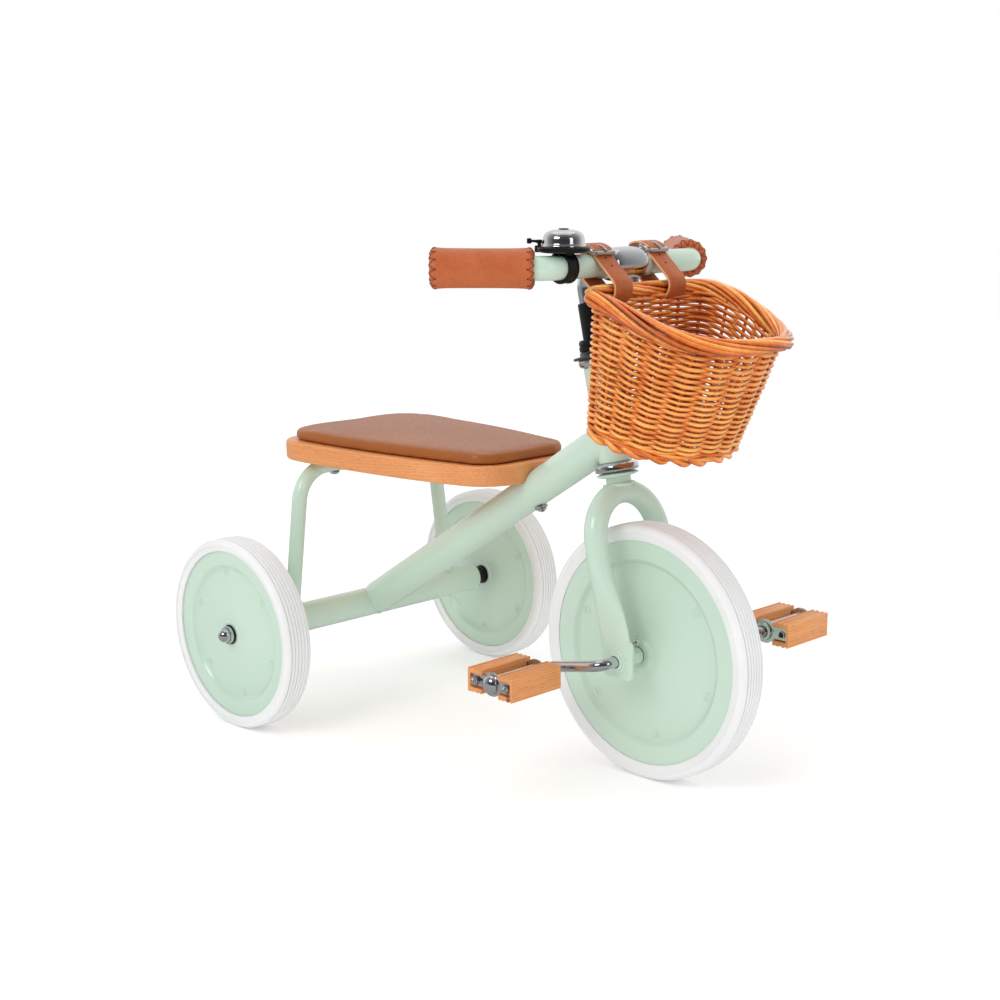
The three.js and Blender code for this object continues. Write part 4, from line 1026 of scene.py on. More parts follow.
def crown_pad(pad):
    """Raises the pad's middle, keeping its bottom flat."""
    low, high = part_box("seat_pad")
    half_length = (high.x - low.x) / 2
    points = vertex_places(pad)
    crown = 1 - np.clip(np.abs(points[:, 0] - middle("seat_pad").x) / half_length, 0, 1) ** 2.5
    crown *= 1 - np.clip(np.abs(points[:, 1]) / (PAD_CROWN_HALF * MM), 0, 1) ** 2.5
    share = np.clip((points[:, 2] - low.z) / (high.z - low.z), 0, 1)
    points[:, 2] = np.maximum(points[:, 2] + PAD_CROWN * MM * crown * share, low.z)
    set_vertex_places(pad, points)
    pad.data.shade_smooth()


def add_seat():
    board = piece("seat_board_beech", board_shape(), TRIKE, "frame", BEECH_BOARD, ["seat_board"])
    carve_tube_pocket(board)
    pad = piece("seat_pad_stuffed", pad_shape(), TRIKE, "frame", PAD, ["seat_pad"])
    stuff(pad, voxel=3.0, pressure=2.5, cap=0.7)
    crown_pad(pad)
    head = BOARD_BOTTOM - 2 * HOOP_RADIUS - GAP
    for name, side in SIDES.items():
        bolt = lathe_z([
            (0, -3.2), (2, -3.1), (4, -2.5), (5.2, -1.4), (5.6, -0.3), (5.6, 0), (3, 0), (3, 20), (0, 20),
        ], 48)
        bolt.shifted(HOOP_X, SEAT_BOLT_HALF * side, head)
        piece(f"seat_bolt_{name}_domed", bolt, TRIKE, "frame", CHROME, [f"seat_bolt_{name}"])
    front = lathe_z([
        (0, -7.6), (2.2, -7.6), (2.4, -6.2), (3.4, -6.2), (4.4, -6.0), (4.8, -5.2), (4.8, -4.2),
        (6.4, -4.0), (6.9, -3.2), (6.9, -1.9), (3, -1.9), (3, 2), (0, 2),
    ], 48)
    root = Matrix.Translation(down_tube_point(258)) @ Matrix.Rotation(-DOWN_TUBE_SLOPE, 4, "Y")
    front.moved(root @ Matrix.Translation((0, 0, -DOWN_TUBE_RADIUS + 1.7)))
    piece("seat_bolt_front_flanged", front, TRIKE, "frame", CHROME, ["seat_bolt_front"])


add_seat()


# ---------------------------------------------------------------- headset and fork

FORK_HALF = 45
FORK_RADIUS = 11.3
FORK_TOP = -19
FOOT_WIDENS = 6.6               # a leg's foot is this much wider to each side than the tube
FOOT_HALF_THICK = 2.3
FOOT_FORWARD = 7.5
BRACKET_FACE = 50
BRACKET_SHEET = 4
WHEEL_CENTRE = trike_mm(middle("front_tyre"))
BRACKET_TOP = trike_mm(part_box("fork_bracket_right")[1]).z


# Each headset piece: its name, its node, its finish, where it starts along the steering axis, and
# its profile from there. The two cups stay with the frame.
HEADSET = (
    ("lower_cup_polished", "lower_headset_cup", CHROME, 0, [
        (13.2, 1), (19.6, 1), (20.9, 1.6), (21.4, 2.6), (21.4, 3.2), (21.0, 3.6), (21.4, 4.0),
        (21.4, 6.6), (20.8, 7.6), (19.4, 8.4), (17.2, 9.4), (16.4, 9.8), (13.2, 9.8), (13.2, 1)]),
    ("upper_cup_polished", "upper_headset_cup", CHROME, HEAD_HIGH, [
        (13.2, 0), (16.6, 0.3), (18.4, 1), (19.6, 2.2), (20, 3.6), (20, 6.6), (19.4, 7.8),
        (13.2, 7.8), (13.2, 0)]),
    ("dust_washer_pressed", "dust_washer", DARK_STEEL, HEAD_HIGH + 8.3, [
        (12.6, 0), (23.8, 0), (24.5, 0.6), (24.5, 1.8), (23.8, 2.4), (19, 3), (17.8, 3.6),
        (17.5, 4.4), (17.5, 6.6), (12.6, 7), (12.6, 0)]),
    ("lock_nut_ribbed", "lock_nut", BLACK, HEAD_HIGH + 8.3, [
        (12.6, 7.3), (16.6, 7.3), (17.2, 8), (17.2, 12), (16.4, 12.6), (16.4, 13.4), (17, 14),
        (16.8, 16.8), (15.6, 18.4), (12.6, 18.5), (12.6, 7.3)]),
    ("crown_race_flanged", "crown_race", MINT, 0, [
        (12.6, -4.4), (15, -4.2), (17.6, -3.4), (20.4, -2.6), (20.8, -2), (20.4, -1.2), (17.2, 0.2),
        (12.6, 0.6), (12.6, -4.4)]),
)


def add_headset():
    for name, node, finish, rise, profile in HEADSET:
        body = "frame" if node.endswith("cup") else "steering"
        piece(name, lathe_z(profile, rise=rise), STEER, body, finish, [node])


def fork_leg_stations():
    """The arch and both legs as (point, flatness from 0 round to 1 pressed) in steering space."""
    arch_z = FORK_TOP - FORK_HALF
    to_steer = STEER.inverted() @ TRIKE
    foot = (to_steer @ Vector((WHEEL_CENTRE.x, 0, BRACKET_TOP))).z
    leg = np.linspace(foot - 3, arch_z, 46)[:-1]
    points = [np.array([0, -FORK_HALF, z]) for z in leg]
    points += [np.array([0, -FORK_HALF * math.cos(a), arch_z + FORK_HALF * math.sin(a)])
               for a in np.linspace(0, math.pi, 61)]
    points += [np.array([0, FORK_HALF, z]) for z in leg[::-1]]
    flat = [float(smoothstep(foot + 78, foot + 6, p[2])) for p in points]
    return np.array(points), flat


def fork_shape():
    """Round legs that are pressed wide and thin where they meet the brackets."""
    points, flat = fork_leg_stations()
    angles = np.arange(64) * TAU / 64
    centre = points.copy()
    for i, f in enumerate(flat):
        centre[i, 0] += FOOT_FORWARD * f ** 1.3
        centre[i, 1] += (BRACKET_FACE - BRACKET_SHEET / 2 - FORK_HALF) * np.sign(points[i, 1]) * f

    def section(i):
        f = flat[i]
        power = 2 / (2 + 0.8 * f)
        c, s = np.cos(angles), np.sin(angles)
        fore = (FORK_RADIUS + FOOT_WIDENS * f) * np.sign(c) * np.abs(c) ** power
        out = (FORK_RADIUS + (FOOT_HALF_THICK - FORK_RADIUS) * f) * np.sign(s) * np.abs(s) ** power
        return np.stack([fore, out], 1)

    return sweep(centre, section, fixed=(1, 0, 0))


def add_fork():
    fork = fork_shape()
    low, high = FORK_TOP + 2, HEAD_HIGH + 26
    fork.with_shape(lathe_z([(10.9, low), (12.2, low), (12.2, high), (10.9, high), (10.9, low)], 64))
    bead = []
    for a in full_turn(60):
        y = 14.6 * math.sin(a)
        z = FORK_TOP - FORK_HALF + math.sqrt((FORK_HALF + FORK_RADIUS * 0.93) ** 2 - y * y) - 1.4
        bead.append((13.4 * math.cos(a), y, z - 2.6 * math.cos(a) ** 2))
    fork.with_shape(weld_bead(np.array(bead), 2.0, True))
    piece("fork_pressed", fork, STEER, "steering", MINT, ["fork"], crease=45)
    for name, side in SIDES.items():
        add_fork_bracket(name, side)


def add_fork_bracket(name, side):
    """The bearing plate at a leg's foot, with its bush, the boss inside it and a small screw."""
    low = trike_mm(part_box(f"fork_bracket_{name}")[0]).z
    height = BRACKET_TOP - low + 3
    plate = slab(rounded_box_outline(37, height, 5.5), 0, BRACKET_SHEET, 1.0, 3)
    stand = Matrix.Rotation(math.radians(90), 4, "X")
    plate.moved(Matrix.Translation((WHEEL_CENTRE.x, BRACKET_FACE, low + height / 2)) @ stand)
    hub = lathe([
        (6.0, 21.5 - BRACKET_FACE), (8.5, 21.5 - BRACKET_FACE), (8.5, -2), (11.0, -0.4), (11.0, 0.5),
        (10.3, 1.1), (8.6, 1.3), (8.5, 3.0), (7.3, 3.6), (6.0, 3.6), (6.0, 21.5 - BRACKET_FACE),
    ], 72, BRACKET_FACE).shifted(WHEEL_CENTRE.x, 0, WHEEL_CENTRE.z)
    seam_top = BRACKET_TOP + 2.2
    seam = [(WHEEL_CENTRE.x + k, BRACKET_FACE - 1.2, seam_top - 0.06 * k ** 2 / 18) for k in range(-18, 19)]
    plate.with_shape(hub).with_shape(weld_bead(seam, 1.3))
    piece(f"fork_bracket_{name}_plate", mirrored(plate, side), TRIKE, "steering", MINT,
          [f"fork_bracket_{name}"])
    screw = lathe([
        (0.01, 41.4), (2.6, 41.4), (3.0, 42), (3.0, 44.4), (2.0, 45.8), (2.0, 46.2), (0.01, 46.2),
    ], 24).shifted(WHEEL_CENTRE.x + 17.4, 0, BRACKET_TOP + 1.6)
    piece(f"bracket_screw_{name}", mirrored(screw, side), TRIKE, "steering", PLATED)


add_headset()
add_fork()


# ---------------------------------------------------------------- crank and pedals

CRANK_RADIUS = 5.5
PEDAL_INNER = 82
PEDAL_WIDTH = 66
PEDAL_LENGTH = 60
PEDAL_HEIGHT = 24
BLOCK_LENGTH = 19
PLATE_HALF_HEIGHT = 6.3
REBATE = 4.6                    # depth of the hollow in each end of a block
CRANK_CORNER = 12
CRANK_HUB_HALF = 72
CRANK_ARM_HALF = 64


def pedal_centre(name):
    joint = trike_mm(JOINTS[f"pedal_{name}_spin"]["pos_m"])
    return np.array([joint.x, 0, joint.z])


def crank_shape():
    """One bent rod: both pedal spindles, both arms and the wheel's own spindle."""
    hub = np.array([WHEEL_CENTRE.x, 0, WHEEL_CENTRE.z])
    right, left = pedal_centre("right"), pedal_centre("left")
    end = PEDAL_INNER + PEDAL_WIDTH - 6

    def beside(centre, y):
        return centre + np.array([0, y, 0])

    corners = [beside(right, -end), beside(right, -CRANK_ARM_HALF), beside(hub, -CRANK_HUB_HALF),
               beside(hub, CRANK_HUB_HALF), beside(left, CRANK_ARM_HALF), beside(left, end)]
    return sweep(arc_path(corners, CRANK_CORNER, 1.6), CRANK_RADIUS, sides=36)


RIDGES = 3
RIDGE_DEPTH = 2.1


def block_outline(opening=False):
    """A pedal block's end, in X and Z, with ridges above and below; +X is the outer side."""
    half, top = BLOCK_LENGTH / 2, PEDAL_HEIGHT / 2
    corner = 1.4
    upper = []
    for x in np.linspace(half - corner, -half + corner, 49):
        share = (x + half) / BLOCK_LENGTH
        wave = abs(math.cos(math.pi * RIDGES * share + math.pi / 2 * (RIDGES - 1)))
        groove = RIDGE_DEPTH * (1 - wave ** 0.55) if 0.12 < share < 0.88 else 0
        upper.append((x, top - groove))
    outer = [(half, top - corner * 0.9), (half - corner * 0.3, top - corner * 0.25)]
    inner = [(-half + corner * 0.3, top - corner * 0.25), (-half, top - corner * 0.9)]
    loop = outer + upper + inner
    if opening:
        reach, border = 6.9, 3.2
        loop += [(-half, reach), (half - border - 1, reach), (half - border, reach - 1),
                 (half - border, -reach + 1), (half - border - 1, -reach), (-half, -reach)]
    loop += [(x, -z) for x, z in (outer + upper + inner)[::-1]]
    return loop


def along_y(outline, low, high, bevel=0.5):
    """An outline in X and Z, extruded along Y."""
    shape = slab(outline, low, high, bevel, 2)
    return shape.moved(Matrix(((1, 0, 0, 0), (0, 0, 1, 0), (0, 1, 0, 0), (0, 0, 0, 1))))


def plate_outline():
    """A pressed end plate: a round middle that narrows to a square tab at each end."""
    half = PEDAL_LENGTH / 2 - 3.8
    xs = np.linspace(-half, half, 61)
    heights = [PLATE_HALF_HEIGHT + 5.4 * math.exp(-abs(x / 9.2) ** 3.2) for x in xs]
    upper = list(zip(xs, heights))
    return upper + [(x, -h) for x, h in reversed(upper)]


def hex_nut(radius, low, height, dome):
    """A hexagonal nut along Y with a domed end."""
    outline = [(radius * math.cos(a), radius * math.sin(a)) for a in full_turn(6)]
    nut = along_y(outline, low, low + height, 0.4)
    profile = [(0.01, -0.5), (dome, -0.5)]
    profile += [(dome * math.cos(a) + 0.01, dome * math.sin(a)) for a in quarter_turn(6)]
    return nut.with_shape(lathe(profile, 32, low + height))


def pair(shape_at, spread):
    """The same shape made twice, a distance to the front and to the rear of the middle."""
    both = Shape()
    for sign in (-1, 1):
        both.with_shape(shape_at().shifted(sign * spread))
    return both


def pedal_block(inner, outer):
    """A grooved block, hollowed at both ends for the plates."""
    block = along_y(block_outline(), inner + REBATE, outer - REBATE)
    block.with_shape(along_y(block_outline(True), inner, inner + REBATE + 0.4))
    return block.with_shape(along_y(block_outline(True), outer - REBATE - 0.4, outer))


def pedal_cage(inner, outer, block_x):
    """Both end plates, the domed cap and the two nuts."""
    cage = along_y(plate_outline(), outer - REBATE + 0.6, outer - REBATE + 2.2, 0.3)
    cage.with_shape(along_y(plate_outline(), inner + REBATE - 2.2, inner + REBATE - 0.6, 0.3))
    face = outer - REBATE + 2.0
    cap = [(0.01, -1), (10.4, -1), (10.4, 0.4), (9.9, 0.9)]
    cap += [(9.5 * math.cos(a) + 0.01, 0.9 + 6.6 * math.sin(a)) for a in quarter_turn(10)]
    cage.with_shape(lathe(cap, 72, face))
    return cage.with_shape(pair(lambda: hex_nut(4.9, face, 3.4, 3.4), block_x + 0.2))


def add_pedal(name, side):
    inner, outer = PEDAL_INNER, PEDAL_INNER + PEDAL_WIDTH
    block_x = (PEDAL_LENGTH - BLOCK_LENGTH) / 2
    place = TRIKE @ Matrix.Translation(pedal_centre(name))

    def add(part, shape, finish, nodes=(), crease=35):
        piece(f"pedal_{name}_{part}", mirrored(shape, side), place, f"pedal_{name}", finish, nodes, crease)

    for end, sign in (("front", 1), ("rear", -1)):
        block = pedal_block(inner, outer).moved(Matrix.Diagonal((sign, 1, 1, 1))).shifted(sign * block_x)
        add(f"grip_{end}", block, BEECH_BLOCK, [f"pedal_{name}_block_{end}"], 30)
    add("plates", pedal_cage(inner, outer, block_x), PLATED, [f"pedal_{name}_cage"])
    low, high = inner + 2.6, outer - 5
    add("sleeve", lathe([(6.1, low), (7.4, low), (7.4, high), (6.1, high), (6.1, low)], 56), STEEL)
    cup = lathe([
        (6.0, -1), (7.4, -1), (8.8, -0.4), (9.2, 1), (9.2, 4.4), (7.0, 4.6), (7.0, 0.6), (6.0, 0.6),
        (6.0, -1),
    ], 56, inner)
    cup.with_shape(pair(lambda: lathe([
        (1.6, 2.2), (3.8, 2.2), (4.0, 1.9), (3.9, 1.2), (3.2, 1.2), (2.6, 1.9), (1.6, 1.9), (1.6, 2.2),
    ], 40, inner), block_x))
    add("inner_cup", cup, PLATED)
    # A black disc set in each screw head's hole: painted shade for its recess.
    recess_shade = pair(lambda: lathe([(0.01, 1.75), (3.0, 1.75), (3.0, 2.1), (0.01, 2.1)], 32, inner), block_x)
    add("screw_recess", recess_shade, BLACK)


def add_drive():
    piece("crank_bent", crank_shape(), TRIKE, "front_wheel", CHROME, ["crank"])
    for name, side in SIDES.items():
        add_pedal(name, side)


add_drive()


# ---------------------------------------------------------------- handlebar, stem and grips

BAR_RADIUS = 11.1
BAR_X = trike_mm(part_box("handlebar")[1]).x - BAR_RADIUS
BAR_Z = trike_mm(middle("handlebar")).z
BAR_STRAIGHT = 90
BAR_BEND = 22
BAR_SWEEP = math.radians(47)
BAR_SLEEVE_RADIUS = 12.6        # the thicker middle on both sides of the clamp
BAR_SLEEVE_HALF = 34
GRIP_RADIUS = 18
GRIP_LENGTH = 93
GRIP_START = 4
BARREL_HALF = 24
BARREL_RADIUS = 16
QUILL_RADIUS = 10
LACE_COUNT = 13
LACE_REACH = 5.0                # from the grip's end to its side holes


def bar_point(side, along):
    """A point on the swept part of the bar, a distance past the end of its bend."""
    bend_y = BAR_STRAIGHT + BAR_BEND * math.sin(BAR_SWEEP)
    bend_x = BAR_X - BAR_BEND * (1 - math.cos(BAR_SWEEP))
    return (bend_x - along * math.sin(BAR_SWEEP), side * (bend_y + along * math.cos(BAR_SWEEP)), BAR_Z)


def bar_shape():
    corner = BAR_STRAIGHT + BAR_BEND * math.tan(BAR_SWEEP / 2)
    path = arc_path([bar_point(-1, GRIP_LENGTH), (BAR_X, -corner, BAR_Z), (BAR_X, corner, BAR_Z),
                     bar_point(1, GRIP_LENGTH)], BAR_BEND, 1.5)
    swell = 1 - smoothstep(BAR_SLEEVE_HALF - 3, BAR_SLEEVE_HALF + 5, np.abs(path[:, 1]))
    return sweep(path, BAR_RADIUS + (BAR_SLEEVE_RADIUS - BAR_RADIUS) * swell, sides=56)


def stem_shape():
    """The quill, its forward bend and the barrel that clamps the bar, in steering space."""
    bar = STEER.inverted() @ TRIKE @ Vector((BAR_X, 0, BAR_Z))
    path = arc_path([(0, 0, 50), (0, 0, bar.z + 5), (bar.x, 0, bar.z)], 20, 2)
    neck = sweep(path, QUILL_RADIUS, sides=48, hint=(0, 1, 0))
    barrel = [(0.01, -BARREL_HALF)]
    for k in range(25):
        c = math.cos(math.pi * k / 24)
        barrel.append((BARREL_RADIUS * (1 - 0.16 * abs(c) ** 8) - 0.9 * c ** 2, -BARREL_HALF * c))
    barrel.append((0.01, BARREL_HALF))
    return neck.with_shape(lathe(barrel).shifted(*bar))


def grip_profile_radius(y, angle):
    """The leather tube's radius: slack towards the middle, gathered between the end stitches."""
    end = min(y, GRIP_LENGTH - y)
    slack = -0.35 * math.sin(math.pi * y / GRIP_LENGTH)
    swell = 0.35 * math.exp(-((end - 6.5) / 4.5) ** 2)
    gather = 0.28 * math.cos(LACE_COUNT * angle) * math.exp(-end / 3.0)
    edge = -4.2 * max(0.0, 1 - end / 4.2) ** 2.4
    return GRIP_RADIUS + slack + swell + gather + edge


def leather_point(angle, y, proud=0.0):
    """A point on the leather, or that far above it."""
    return around_y(grip_profile_radius(y, angle) + proud, angle, y)


def grip_shape():
    """The leather tube, turned in to the bar at its start."""
    ends = [0, 0.25, 0.7, 1.3, 2.1, 3.1, 4.4, 6, 8, 10.5, 13.5]
    stations = ends + list(np.linspace(17, GRIP_LENGTH - 17, 12)) + [GRIP_LENGTH - e for e in reversed(ends)]
    angles = full_turn(LACE_COUNT * 10)
    rings = [[around_y(BAR_RADIUS + 0.2, a, 0.9) for a in angles]]
    return skin(rings + [[leather_point(a, y) for a in angles] for y in stations])


def lace_shape():
    """A thong at each end that zigzags between holes in the side and holes in the end face."""
    shape = Shape()
    half = TAU / LACE_COUNT / 2
    for flip in (False, True):
        path = []
        for start in full_turn(LACE_COUNT):
            path += [lace_point(start + half * t, t) for t in np.linspace(0, 1, 9)[:-1]]
            path += [lace_point(start + half * (2 - t), t) for t in np.linspace(1, 0, 9)[:-1]]
        path = np.array(path)
        if flip:
            path[:, 1] = GRIP_LENGTH - path[:, 1]
        shape.with_shape(sweep(path, 0.52, closed=True, sides=8, hint=(0, 1, 0), tone=0.2))
    return shape


def lace_point(angle, t):
    """t runs from 0 at a side hole, over the rounded edge, to 1 at a hole in the end face."""
    run = LACE_REACH * (1 - t / 0.72) if t < 0.72 else 0.0
    if run > 0.4:
        return leather_point(angle, run, 0.15)
    dip = (t - 0.66) / 0.34
    return around_y(GRIP_RADIUS - 3.6 - 1.6 * dip, angle, -0.25 + 0.3 * dip)


def painted_shade_disc(radius, low, high, sides, angle):
    """A small disc that faces outwards at an angle about Y; dark, it stands for the painted shade inside a
    hole.
    """
    disc = lathe_z([(0.01, low), (radius, low), (radius, high), (0.01, high)], sides)
    return disc.moved(Matrix.Rotation(math.pi / 2 - angle, 4, "Y"))


def lace_holes():
    """Small near-black discs where the thong goes in: painted shade for its holes."""
    shape = Shape()
    for y in (LACE_REACH + 0.4, GRIP_LENGTH - LACE_REACH - 0.4):
        for a in full_turn(LACE_COUNT):
            shape.with_shape(painted_shade_disc(0.8, -0.4, 0.1, 12, a).shifted(*leather_point(a, y)))
    return shape


def add_handlebar():
    piece("handlebar_swept", bar_shape(), TRIKE, "steering", MINT, ["handlebar"])
    piece("quill_stem_polished", stem_shape(), STEER, "steering", CHROME, ["quill_stem"])
    sleeve = lathe_z([
        (10.3, 0), (11.6, 0), (12, 0.5), (12, 34), (11.6, 34.5), (10.3, 34.5), (10.3, 0),
    ], rise=HEAD_HIGH + 27)
    piece("stem_sleeve_smooth", sleeve, STEER, "steering", BLACK, ["stem_sleeve"])
    for name, side in SIDES.items():
        turn = Matrix.Rotation(side * BAR_SWEEP, 4, "Z")
        place = TRIKE @ Matrix.Translation(bar_point(side, GRIP_START)) @ turn
        for part, shape, finish, nodes, crease in (("sewn", grip_shape(), GRIP_LEATHER, [f"grip_{name}"], 60),
                                                   ("lacing", lace_shape(), LACE, (), 60),
                                                   ("painted_shade_discs", lace_holes(), HOLE_SHADE, (), 35)):
            piece(f"grip_{name}_{part}", mirrored(shape, side), place, "steering", finish, nodes, crease)


add_handlebar()


# ---------------------------------------------------------------- bell

BELL = trike_mm(middle("bell_dome"))
DOME_LOW = trike_mm(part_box("bell_dome")[0]).z
DOME_HIGH = trike_mm(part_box("bell_dome")[1]).z
PLATE_LOW = DOME_LOW - 5.8
DOME_RADIUS = extent("bell_dome").x / 2
PLATE_RADIUS = extent("bell_base").x / 2
LEVER_PIVOT = trike_mm(JOINTS["bell_lever_press"]["pos_m"])


def bell_dome_shape():
    """A shell with a rolled lip, in heights above its lip."""
    height = DOME_HIGH - DOME_LOW
    outer = [(DOME_RADIUS, 0), (DOME_RADIUS, 0.9), (DOME_RADIUS - 0.5, 1.5), (DOME_RADIUS - 1.0, 2.2),
             (DOME_RADIUS - 1.2, 3.0)]
    outer += [(max((DOME_RADIUS - 1.3) * math.cos(a) ** 0.6, 3.0), 4.0 + (height - 4.0) * math.sin(a) ** 0.8)
              for a in quarter_turn(16)]
    inner = [(max(r - 1.2, 2.9), z - 0.9) for r, z in reversed(outer[3:])] + [(DOME_RADIUS - 1.2, 0)]
    return lathe_z(outer + inner + [outer[0]], 120, DOME_LOW)


def bell_base_shape():
    """The plate under the dome, its clamp round the bar and the lever's ear."""
    base = lathe_z([
        (0.01, 0), (20, 0), (22.2, 0.6), (PLATE_RADIUS - 0.2, 1.6), (PLATE_RADIUS, 2.6), (PLATE_RADIUS, 4.4),
        (PLATE_RADIUS - 0.6, 5.0), (DOME_RADIUS + 0.8, 5.0), (DOME_RADIUS + 0.4, 4.4), (0.01, 4.4),
    ], 96, PLATE_LOW).shifted(BELL.x, BELL.y)
    half_band = [(BAR_RADIUS + r, y) for r, y in ((0.3, 6), (2.6, 6), (3.6, 5.4), (3.6, 4.2), (2.9, 3.6))]
    band = [(r, -y) for r, y in half_band] + half_band[::-1] + [(BAR_RADIUS + 0.3, -6)]
    base.with_shape(lathe(band, 72).shifted(BELL.x, BELL.y, BAR_Z))
    foot = slab(rounded_box_outline(17, 12, 2.5), BAR_Z + BAR_RADIUS - 1.5, PLATE_LOW + 1, 0.4, 2)
    base.with_shape(foot.shifted(BELL.x, BELL.y))
    ear = lathe_z([(1.9, 0), (4.2, 0), (4.4, 0.6), (4.4, 5.4), (3.8, 6), (1.9, 6), (1.9, 0)], 40, PLATE_LOW)
    return base.with_shape(ear.shifted(LEVER_PIVOT.x, LEVER_PIVOT.y))


def bell_lever_shape():
    """The thumb lever: a round root on its post, a webbed arm and a rounded pad."""
    arm_z = PLATE_LOW + 9.6
    tip = trike_mm(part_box("bell_lever")[0]) + Vector((2.4, 2.4, 0))
    lever = lathe_z([
        (0.01, -8.2), (1.6, -8.2), (1.6, -2), (2.5, -1.7), (2.7, -1.2), (2.7, 1.1), (2.3, 1.6), (0.01, 1.6),
    ], 32, arm_z).shifted(LEVER_PIVOT.x, LEVER_PIVOT.y)
    arm = np.linspace((LEVER_PIVOT.x, LEVER_PIVOT.y, arm_z), (tip.x, tip.y, arm_z + 0.6), 12)
    radii = [1.7 - 0.5 * math.sin(math.pi * min(1, k / 11 * 0.85)) for k in range(12)]
    lever.with_shape(sweep(arm, radii, sides=20))
    pad = lathe_z([
        (0.01, -2), (1.4, -1.9), (2.1, -1.4), (2.2, -0.6), (2.2, 1.6), (2.1, 2.4), (1.4, 2.9), (0.01, 3),
    ], 32, arm_z)
    return lever.with_shape(pad.shifted(tip.x, tip.y))


def add_bell():
    dome = bell_dome_shape().shifted(BELL.x, BELL.y)
    piece("bell_dome_polished", dome, TRIKE, "steering", CHROME, ["bell_dome"], crease=50)
    screw = lathe_z([
        (0.01, -5), (1.6, -5), (1.6, 0), (4.6, 0), (4.7, 0.4), (4.2, 0.8), (1.0, 0.9), (0.9, 0.3),
        (0.01, 0.3),
    ], 40, DOME_HIGH).shifted(BELL.x, BELL.y)
    piece("bell_screw_flat", screw, TRIKE, "steering", BLACK, ["bell_screw"])
    piece("bell_base_moulded", bell_base_shape(), TRIKE, "steering", BLACK, ["bell_base"])
    piece("bell_lever_webbed", bell_lever_shape(), TRIKE, "bell_lever", BLACK, ["bell_lever"])


add_bell()


# ---------------------------------------------------------------- wicker basket

BASKET_LOW, BASKET_HIGH = (trike_mm(corner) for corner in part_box("basket"))
RIM_BACK = 392
RIM_FRONT = BASKET_HIGH.x
RIM_HALF = BASKET_HIGH.y
RIM_Z = BASKET_HIGH.z
RIM_DIP = 41
FOOT_BACK = BASKET_LOW.x
FOOT_FRONT = 491
FOOT_HALF = 78
FOOT_Z = 349
FOOT_SLOPE = 0.27
OVERHANG = 8
WALL = 7
STAKES = 19                     # odd, so that one winding weaver alternates by itself
WEAVER_RADIUS = 1.62
STAKE_RADIUS = 1.8
ROW_PITCH = 2.85
WALL_ROWS = (0.075, 0.90)       # the woven wall's bottom and top, as shares of the height
WALE_ROWS = 4
WALE_START = 0.022
WALE_PITCH = 0.0155
ROLL_HALF_WIDTH = 5.1           # of the rolled rim
RIM_ROD_RADIUS = 2.25
FOOT_ROD_RADIUS = 2.6


def basket_point(angle, share, inset):
    """The basket's surface: angle 0 is the front and turns to the left; share rises to the rim."""
    def mix(foot, rim):
        return foot + (rim - foot) * share
    back = mix(FOOT_BACK, RIM_BACK) + inset
    front = mix(FOOT_FRONT, RIM_FRONT) - inset
    half = mix(FOOT_HALF, RIM_HALF) - inset
    waist = back + (front - back) * 0.3
    c, s = np.cos(angle), np.sin(angle)
    blunt = np.where(c > 0, 2.1, 5)
    reach = np.where(c > 0, front - waist, waist - back)
    x = waist + reach * np.sign(c) * np.abs(c) ** (2 / blunt)
    y = half * np.sign(s) * np.abs(s) ** (2 / blunt)
    ahead = (x - back) / (front - back)
    foot_z = FOOT_Z - FOOT_SLOPE * (x - back)
    rim_z = RIM_Z - RIM_DIP * np.sin(np.clip(ahead, 0, 1) * math.pi / 2) ** 2
    return np.stack([x, y, mix(foot_z, rim_z)], -1)


def even_angles(share=0.5, samples=4000):
    """A function from a fraction of the way round, starting at the back, to the angle there."""
    angles = np.linspace(0, TAU, samples + 1) + math.pi
    points = basket_point(angles, share, OVERHANG * share + WALL / 2)
    steps = np.linalg.norm(np.diff(points, axis=0), axis=1)
    travelled = np.concatenate([[0], np.cumsum(steps)])
    return lambda way: np.interp(np.asarray(way) % 1.0, travelled / travelled[-1], angles)


ANGLE_AT = even_angles()


def wall_frame(way, share, inset=None):
    """Point, outward direction and upward direction on the wall's middle surface."""
    def where(w, s):
        s = np.asarray(s, float)
        gap = OVERHANG * s + WALL / 2 if inset is None else inset
        return np.stack([basket_point(a, ss, g) for a, ss, g in
                         zip(*(np.broadcast_arrays(ANGLE_AT(w), s, gap)))])
    way = np.atleast_1d(np.asarray(way, float))
    share = np.broadcast_to(np.asarray(share, float), way.shape)
    point = where(way, share)
    around = unit(where(way + 4e-3, share) - where(way - 4e-3, share))
    up = where(way, share + 0.01) - where(way, share - 0.01)
    up = unit(up - around * np.sum(up * around, 1, keepdims=True))
    return point, np.cross(around, up), up


def wander(way, seed, amount):
    """A slow, seeded waviness."""
    return amount * (np.sin(TAU * way * 3.1 + seed * 1.7) + 0.6 * np.sin(TAU * way * 7.3 + seed * 2.9)) / 1.6


